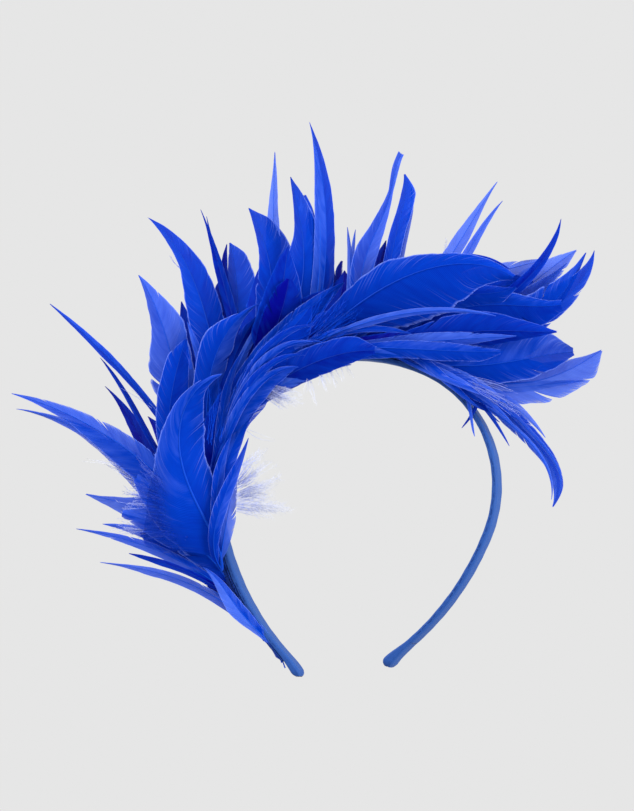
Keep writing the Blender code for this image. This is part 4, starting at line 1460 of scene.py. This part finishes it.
    def widths(self, side: Side) -> Widths:
        """The widths of a vane.

        Args:
            side: the vane's side.

        Returns:
            Its widths at even steps, a plain blade's worked out from its two.
        """
        widths = self.feather.left if side is Side.LEFT else self.feather.right
        if len(widths) > 2:
            return widths
        wide, tip = widths
        return *(share * wide for share in self.plain_blade), tip

    def reach(self, share: np.ndarray, side: Side) -> np.ndarray:
        """How wide the vane is.

        Args:
            share: places along the shaft.
            side: the vane's side.

        Returns:
            Its width at each place, rounded off between the widths of the chart.
        """
        widths = self.widths(side)
        stations = (self.bare, *np.linspace(self.first, self.last, len(widths)), 1.0)
        fine = np.linspace(0, 1, self.fine_steps)
        rough = np.interp(fine, stations, (self.bare_wide, *widths, self.feather.blunt))
        spread = self.rounding if len(widths) < self.many_widths else self.close_rounding
        past = np.linspace(rough[-1], rough[-1] - self.tip_fall, spread)
        padded = np.concatenate([np.full(spread, rough[0]), rough, past])
        kernel = np.hanning(spread)
        rounded = np.convolve(padded, kernel / kernel.sum(), "same")[spread:-spread]
        return np.maximum(np.interp(share, fine, rounded), self.thinnest)

    def wobble(self, place: np.ndarray, apart: float) -> np.ndarray:
        """Smooth noise from -1 to 1 along the feather, its knots that many mm apart."""
        knots = max(4, int(self.long / apart))
        return np.interp(place, np.linspace(0, 1, knots), self.random.uniform(-1, 1, knots))

    def rips(self, wide: float) -> list[Rip]:
        """Draws where a vane's barbs have parted.

        Args:
            wide: the vane's width.

        Returns:
            The rips, from none to the feather's most.
        """
        found = []
        for _ in range(int(self.random.integers(0, self.feather.tears + 1))):
            depth = float(self.random.uniform(*self.rip_depths))
            place = float(self.random.uniform(*self.rip_places))
            found.append(Rip(place, depth, self.rip_share * wide * depth + self.rip_least))
        return found

    def rows(self, rips: list[Rip]) -> np.ndarray:
        """Where the barbs spring from the shaft.

        Args:
            rips: the vane's rips.

        Returns:
            Their places, with a barb on either side of each rip.
        """
        count = int(np.clip(self.long * self.barbs_per_mm, self.fewest_barbs, self.most_barbs))
        edges = [rip.place + apart for rip in rips for apart in (-self.rip_apart, self.rip_apart)]
        return np.sort(np.concatenate([np.linspace(self.bare, self.barbs_end, count), edges]))

    def vane(self, skin: Skin, side: Side) -> None:
        """Adds the vane on one side.

        Args:
            skin: what it is added to.
            side: its side.
        """
        row = self.feather
        wide = max(self.widths(side))
        rips = self.rips(wide)
        place = self.rows(rips)
        steps = np.linspace(0, 1, self.barb_points) ** self.barb_crowding
        lean = min(self.lean_most, self.lean_by_width * wide / self.long + self.lean_least)
        carry = lean * (1 - place) / (1 - place + lean)
        share = place[:, None] + carry[:, None] * steps[None] ** self.barb_bend
        length = 1.0
        for high, apart in self.ragged:
            length = length - high * self.wobble(place, apart)
        keep = np.ones((len(place) - 1, len(steps) - 1), bool)
        for rip in rips:
            away = np.abs(place - rip.place) * self.long
            part = np.sign(place - rip.place) * np.exp(-away / self.rip_reach) * rip.wide / self.long
            share = share + part[:, None] * smooth(1 - rip.depth, 1.0, steps)[None]
            length = length * (1 - self.rip_short * rip.depth * np.exp(-away / self.rip_short_reach))
            keep[np.searchsorted(place, rip.place) - 1, steps[:-1] > 1 - rip.depth - self.rip_start] = False
        share = np.clip(share, 0.0, 1.0)
        reach = self.reach(share, side) * steps[None] * length[:, None]
        points = self.at(self.shaft, share) + self.at(self.across, share) * (side * reach)[..., None]
        sag = self.ruffle(place, share, wide) * steps[None] ** 2
        cup = row.curl * self.random.uniform(*self.cup_spread)
        sag = sag - cup * reach * steps[None] ** self.cup_bend
        points = points + self.at(self.normal, share) * sag[..., None]
        offset = self.seed * self.seed_apart + side * self.side_apart
        carried = self.dye(side, share, steps)
        skin.sheet(points, chart(place * self.long + offset, steps), keep=keep, **carried)

    def ruffle(self, place: np.ndarray, share: np.ndarray, wide: float) -> np.ndarray:
        """How a vane's edge waves to and fro.

        Args:
            place: where its barbs spring from.
            share: where along the shaft each of their points lies.
            wide: the vane's width.

        Returns:
            How far each point would stand up at the edge, in mm.
        """
        # One number more than the ruffles need, so that the draws after it stay as they are.
        starts = self.random.uniform(0, 2 * pi, len(self.ruffles) + 1)
        swing = sum(high * np.sin(share * pace + start) for (high, pace), start in zip(self.ruffles, starts))
        ripple = self.ripple_high * self.wobble(place, self.ripple_apart)
        return self.ruffle_share * wide * swing + ripple[:, None]

    def dye(self, side: Side, share: np.ndarray, steps: np.ndarray) -> dict[str, Numbers]:
        """What a vane's points carry for the finish.

        Args:
            side: its side.
            share: where along the shaft each of its points lies.
            steps: the places along its barbs.

        Returns:
            tone, how deep the blue is, with painted shade towards the root and one vane painted lighter than
            the other; veil, how see-through it is; fray, how deep the gaps reach.
        """
        row = self.feather
        jitter = self.random.uniform(-self.tone_jitter, self.tone_jitter)
        tone = float(row.tone) + side * self.half_side_light + jitter
        # Painted shade towards the root, where the feathers above shade it.
        tone = tone - self.root_shade * (1 - smooth(*self.root_shade_end, share))
        thin = self.pale_veil * max(0.0, float(row.tone) - self.pale_from)
        thin = thin + self.tip_veil * (row.tone > Tone.SHADE) * smooth(*self.tip_thins, share)
        soft = row.soft[0] if side is Side.LEFT else row.soft[1]
        melt = soft * (1 - smooth(*self.melt_along, share)) * smooth(*self.melt_across, steps)[None]
        wide = max(self.widths(side))
        fray = self.least_fray + self.torn_fray * max(0, row.tears - self.usual_tears)
        fray = fray * min(1.0, wide / self.fray_wide)
        return {"tone": tone, "veil": self.least_veil + thin + melt, "fray": fray + self.soft_fray * melt}

    def quill(self, skin: Skin) -> None:
        """Adds the shaft, from its bound end on the tape to the tip.

        Args:
            skin: what it is added to.
        """
        share = np.concatenate([np.linspace(*steps) for steps in self.quill_steps])
        path = self.at(self.shaft, share) + self.at(self.normal, share) * self.quill_proud
        both = max(self.widths(Side.LEFT)) + max(self.widths(Side.RIGHT))
        wide = np.clip(both / self.quill_full, *self.quill_range)
        taper = self.quill_wide - (self.quill_wide - self.quill_fine) * share**self.quill_taper
        radii = taper * ((1 + wide) / 2) * self.feather.stem
        skin.tube(path, radii, self.quill_sides, self.view.towards, self.quill_flat,
                  tone=float(self.feather.tone), veil=0.0, fray=self.quill_fray)


@dataclass(frozen=True)
class Tuft:
    """A tuft of down or loose barbs, charted like a feather.

    It fans from root to tip, each (right, up, front). spread is how far the tips part. side is how
    long the side barbs are. pale runs from 0, the feathers' own blue, to 1, nearly white. bow is how
    far a strand may bend, as a share of its length.
    """

    name: str
    root: Place
    tip: Place
    strands: int
    spread: float
    side: float = 0.0
    pale: float = 1.0
    bow: float = 0.12


DOWN = (
    Tuft("hollow_high", (-53.5, -44, 13), (-42.5, -36, 12), strands=12, spread=3.0, side=1.6),
    Tuft("hollow_upper", (-55, -52, 13), (-41, -42, 12), strands=14, spread=3.0, side=1.8),
    Tuft("hollow_middle", (-56, -56, 13), (-37, -49, 12), strands=16, spread=2.6, side=2.2),
    Tuft("hollow_lower", (-56, -58, 13), (-41, -54, 12), strands=16, spread=3.6, side=2.4),
    Tuft("hollow_low", (-56, -60, 13), (-33, -61.5, 12), strands=18, spread=2.4, side=2.6),
    Tuft("hollow_last", (-56, -62, 13), (-40, -64, 12), strands=12, spread=2.8, side=1.8),
    Tuft("hollow_spray", (-56, -54, 13), (-47, -49, 12), strands=50, spread=11.0, side=1.2, pale=0.7),
    Tuft("brow_fan", (-44, -13, 13), (-32.5, -19, 12), strands=14, spread=3.0, side=1.8),
    Tuft("brow_fan_right", (-42, -11, 13), (-28, -17, 12), strands=14, spread=3.6, side=1.8),
    Tuft("brow_fan_fill", (-44, -13, 13), (-35, -16, 12), strands=34, spread=6.0, side=1.0, pale=0.7),
    Tuft("long_hair", (-52.5, -28, 13), (-39, -33.5, 12), strands=3, spread=0.8, bow=0.25),
    Tuft("crown_hair", (-27, -4, 11), (-22.5, -21, 11), strands=4, spread=1.2, side=1.2, bow=0.2),
    Tuft("crown_hair_left", (-26, -5, 11), (-28.5, -15, 11), strands=4, spread=2.0, side=0.8),
    Tuft("crown_hair_small", (-22, -3.5, 11), (-19, -12.5, 11), strands=5, spread=2.4, side=0.8),
    Tuft("crown_hair_right", (-17, -1.5, 11), (-13, -10.5, 11), strands=7, spread=3.0, side=0.6),
    Tuft("crown_hair_last", (-12, -0.5, 11), (-8, -8, 11), strands=6, spread=3.0, side=0.5),
    Tuft("crown_hair_edge", (-20, -2, 11), (-15, -7, 11), strands=20, spread=9.0, pale=0.9),
    Tuft("left_notch", (-93, -54, 5), (-99.5, -51.5, 4), strands=8, spread=2.6, side=1.2),
    Tuft("left_notch_low", (-93, -56, 5), (-99, -56, 4), strands=6, spread=2.0, side=1.0, pale=0.85),
    Tuft("left_spike", (-106, -43, 4), (-120, -41, 3), strands=5, spread=0.8),
    Tuft("left_fork_hair", (-90, -20, 0), (-103, -11, 1), strands=3, spread=1.4, pale=0.5, bow=0.2),
    Tuft("upright_hair", (31, 45, -11), (31.7, 52, -11), strands=5, spread=0.6, side=0.4),
    Tuft("pale_left_hair", (-79, 38, -2), (-84, 44, -2), strands=2, spread=0.6, pale=0.1),
    Tuft("shade_hair", (-66, -34, 20), (-62, -10, 18), strands=16, spread=9.0, side=2.2, pale=0.07),
    Tuft("shade_patch", (-74, -3, 14), (-76, 7, 13), strands=8, spread=5.0, side=1.2, pale=0.1, bow=0.1),
    Tuft("sweep_hair", (-24, 11, 15), (-9, 25, 8), strands=30, spread=13.0, side=1.8, pale=0.1),
    Tuft("sweep_hair_low", (-20, 8, 16), (-4, 17, 13), strands=16, spread=7.0, side=1.4, pale=0.07),
    Tuft("left_mass_hair", (-79, -60, 19), (-95, -50, 14), strands=34, spread=15.0, side=1.2, pale=0.12),
    Tuft("left_mass_fringe", (-84, -56, 16), (-99, -49, 12),
         strands=26, spread=10.0, side=1.0, pale=0.26),
    Tuft("left_mass_low", (-78, -72, 18), (-99, -68, 12), strands=26, spread=8.0, side=1.2, pale=0.16),
    Tuft("left_mass_edge", (-90, -60, 8), (-104, -58, 4), strands=18, spread=7.0, side=1.2, pale=0.7),
    Tuft("left_low_edge", (-92, -70, 6), (-106, -68, 3), strands=16, spread=5.0, side=1.2, pale=0.8),
    Tuft("left_second_edge", (-95, -50, 3), (-108, -41, 2), strands=16, spread=5.0, side=1.2, pale=0.8),
    Tuft("shoulder_streaks", (42, -8, 13), (57, -14, 13), strands=18, spread=6.0, pale=0.5),
    Tuft("shoulder_streaks_low", (48, -13, 12), (63, -22, 11), strands=12, spread=4.0, pale=0.5),
)


@dataclass
class Down:
    """Builds the tufts, strand by strand.

    A strand that is paler than near_white springs from its tuft's very root. side_leans is how far
    a side barb leans along its strand, across it and to the front.
    """

    view: ChartView
    root_spread: float = 0.4
    root_deep: float = 0.8
    tip_deep: float = 1.5
    root_radius: float = 0.1
    tip_radius: float = 0.045
    root_pale: float = 0.72
    near_white: float = 0.9
    starts: tuple[float, float] = (-0.12, 0.22)
    reaches: tuple[float, float] = (0.62, 1.04)
    partings: tuple[float, float] = (0.6, 1.2)
    part_bend: float = 1.6
    pale_jitter: float = 0.1
    strand_points: int = 8
    side_radius: float = 0.05
    side_taper: float = 0.6
    side_apart: float = 1.3
    side_places: tuple[float, float] = (0.25, 0.98)
    side_leans: tuple[tuple[float, float], ...] = ((0.5, 1.0), (0.4, 0.9), (-0.5, 0.5))
    side_longs: tuple[float, float] = (0.5, 1.2)
    side_bend: float = 0.3
    side_pale: float = 0.6
    side_points: int = 4
    sides: int = 3

    def strand(self, skin: Skin, row: Tuft, random: np.random.Generator) -> None:
        """Adds one strand of a tuft, and its side barbs.

        Args:
            skin: what it is added to.
            row: the tuft.
            random: where the strand's draws come from.
        """
        towards = self.view.towards
        root, tip = (self.view.place(*place) for place in (row.root, row.tip))
        run = unit(tip - root)
        long = float(np.linalg.norm(tip - root))
        across = unit(np.cross(towards, run))
        aside = random.uniform(-1, 1)
        root = root + across * aside * row.spread * self.root_spread
        root = root + towards * random.uniform(-self.root_deep, self.root_deep)
        root = root + run * long * random.uniform(*self.starts) * (row.pale < self.near_white)
        reach = long * random.uniform(*self.reaches)
        away = aside * row.spread / 2 * random.uniform(*self.partings)
        bow = row.bow * long * random.uniform(-1, 1)
        share = np.linspace(0, 1, self.strand_points)
        sideways = away * share**self.part_bend + bow * np.sin(share * pi) / 2
        path = root + run * (share * reach)[:, None] + across * sideways[:, None]
        path = path + towards * (random.uniform(-self.tip_deep, self.tip_deep) * share**2)[:, None]
        radii = self.root_radius + (self.tip_radius - self.root_radius) * share
        pale = row.pale + random.uniform(-self.pale_jitter, self.pale_jitter)
        pale = pale * (self.root_pale + (1 - self.root_pale) * share)
        skin.tube(path, radii, self.sides, towards, pale=pale[:, None])
        if row.side > 0:
            for at in random.uniform(*self.side_places, int(reach / self.side_apart)):
                start = np.array([np.interp(at, share, path[:, axis]) for axis in range(3)])
                self.barb(skin, row, random, (start, run, across), at)

    def barb(self, skin: Skin, row: Tuft, random: np.random.Generator, frame: tuple[np.ndarray, ...],
             at: float) -> None:
        """Adds one side barb of a strand.

        Args:
            skin: what it is added to.
            row: the tuft.
            random: where the barb's draws come from.
            frame: where it springs from, and the strand's directions along and across.
            at: how far along the strand that is, as a share.
        """
        start, run, across = frame
        along, aside, ahead = self.side_leans
        lean = run * random.uniform(*along) + across * random.choice((-1, 1)) * random.uniform(*aside)
        lean = unit(lean + self.view.towards * random.uniform(*ahead))
        long = row.side * random.uniform(*self.side_longs)
        steps = np.linspace(0, 1, self.side_points)
        path = start + lean * (steps * long)[:, None] + run * (steps**2 * long * self.side_bend)[:, None]
        radii = self.side_radius * (1 - self.side_taper * steps)
        pale = row.pale * (self.side_pale + (1 - self.side_pale) * at)
        skin.tube(path, radii, self.sides, self.view.towards, pale=pale)

    def build(self, material: bpy.types.Material) -> None:
        """Builds all the tufts.

        Args:
            material: their material.
        """
        skin = Skin("down", "barbs", ("pale",))
        random = np.random.default_rng(SEED + 2)
        for row in DOWN:
            LOG.debug("down: %s", row.name)
            for _ in range(row.strands):
                self.strand(skin, row, random)
        skin.make(material, ("feather_crest",))


@dataclass
class Spray:
    """All the feathers, in the groups that they were sewn on in."""

    view: ChartView
    band: HeadBand
    tape: QuillTape
    vane: bpy.types.Material
    shaft: bpy.types.Material

    def build(self) -> None:
        """Builds each group's vanes, and all the shafts."""
        groups = {
            "feathers_left": LEFT_FAN,
            "feathers_front": FRONT_SPRAY,
            "feathers_upright": UPRIGHTS,
            "feathers_crown": CROWN_SWEEP,
            "feathers_right": RIGHT_FAN,
            "feathers_under": UNDER_LAYER,
            "feathers_rear": REAR_LAYER,
        }
        carried = ("tone", "veil", "fray")
        quills = Skin("feather_shafts", "barbs", carried)
        seed = SEED
        for name, rows in groups.items():
            skin = Skin(name, "barbs", carried)
            for row in rows:
                seed += 1
                LOG.debug("%s: %s", name, row.name)
                plume = Plume(row, self.view, self.band, self.tape, seed)
                plume.vane(skin, Side.LEFT)
                plume.vane(skin, Side.RIGHT)
                plume.quill(quills)
            skin.make(self.vane, ("feather_crest",))
        quills.make(self.shaft, ("feather_crest",))


@dataclass(frozen=True)
class SoftBox:
    """A square lamp that faces the fascinator: its place and size in metres, its power in watts."""

    name: str
    where: Place
    size: float
    power: float

    def hang(self) -> None:
        """Adds the lamp."""
        lamp = bpy.data.lights.new(self.name, "AREA")
        lamp.size = self.size
        lamp.energy = self.power
        obj = bpy.data.objects.new(self.name, lamp)
        obj.location = self.where
        obj.rotation_euler = (-Vector(self.where)).to_track_quat("-Z", "Y").to_euler()
        bpy.context.scene.collection.objects.link(obj)


@dataclass
class Studio:
    """Soft light from both sides and above, over a plain pale floor. Its sizes are metres."""

    sky: Colour = (0.791, 0.791, 0.791, 1.0)
    boxes: tuple[SoftBox, ...] = (
        SoftBox("soft_box_left", (-1.0, -0.6, 0.6), 0.6, 16.5),
        SoftBox("soft_box_right", (1.1, -0.35, 0.2), 0.6, 16.5),
        SoftBox("soft_box_above", (-0.2, -0.7, 1.1), 0.6, 10.0),
    )
    floor_down: float = 0.42
    floor_reach: float = 1.1
    floor_corners: int = 64

    def floor(self) -> None:
        """Adds the floor, below what the camera sees."""
        mesh = bpy.data.meshes.new("floor")
        turns = [2 * pi * corner / self.floor_corners for corner in range(self.floor_corners)]
        reach, down = self.floor_reach, self.floor_down
        ring = [(cos(turn) * reach, sin(turn) * reach, -down) for turn in turns]
        mesh.from_pydata(ring, [], [tuple(range(self.floor_corners))])
        mesh.materials.append(FloorFinish("pale_floor").material())
        obj = bpy.data.objects.new("floor", mesh)
        bpy.context.scene.collection.objects.link(obj)

    def build(self) -> None:
        """Sets the sky, the lamps and the floor."""
        scene = bpy.context.scene
        scene.view_settings.view_transform = "Standard"
        world = bpy.data.worlds.new("studio")
        world.use_nodes = True
        world.node_tree.nodes["Background"].inputs["Color"].default_value = self.sky
        scene.world = world
        for box in self.boxes:
            box.hang()
        self.floor()


def main() -> None:
    """Builds the fascinator's looks, piece by piece."""
    logging.basicConfig(level=logging.INFO, format="%(message)s")
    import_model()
    view = ChartView()
    view.camera()
    Studio().build()
    ribbon = RibbonFinish("satin_ribbon").material()
    thread = ThreadFinish("navy_thread").material()
    band = HeadBand()
    band.cover(ribbon)
    band.fold(Leg.LEFT, ribbon)
    band.fold(Leg.RIGHT, ribbon)
    band.seam(thread)
    tape = QuillTape(band)
    tape.strip(thread)
    tape.binding(thread)
    vane = FeatherFinish("dyed_feather_painted_light").material()
    shaft = QuillFinish("dyed_quill").material()
    Spray(view, band, tape, vane, shaft).build()
    Down(view).build(DownFinish("soft_down").material())


if __name__ == "__main__":
    main()
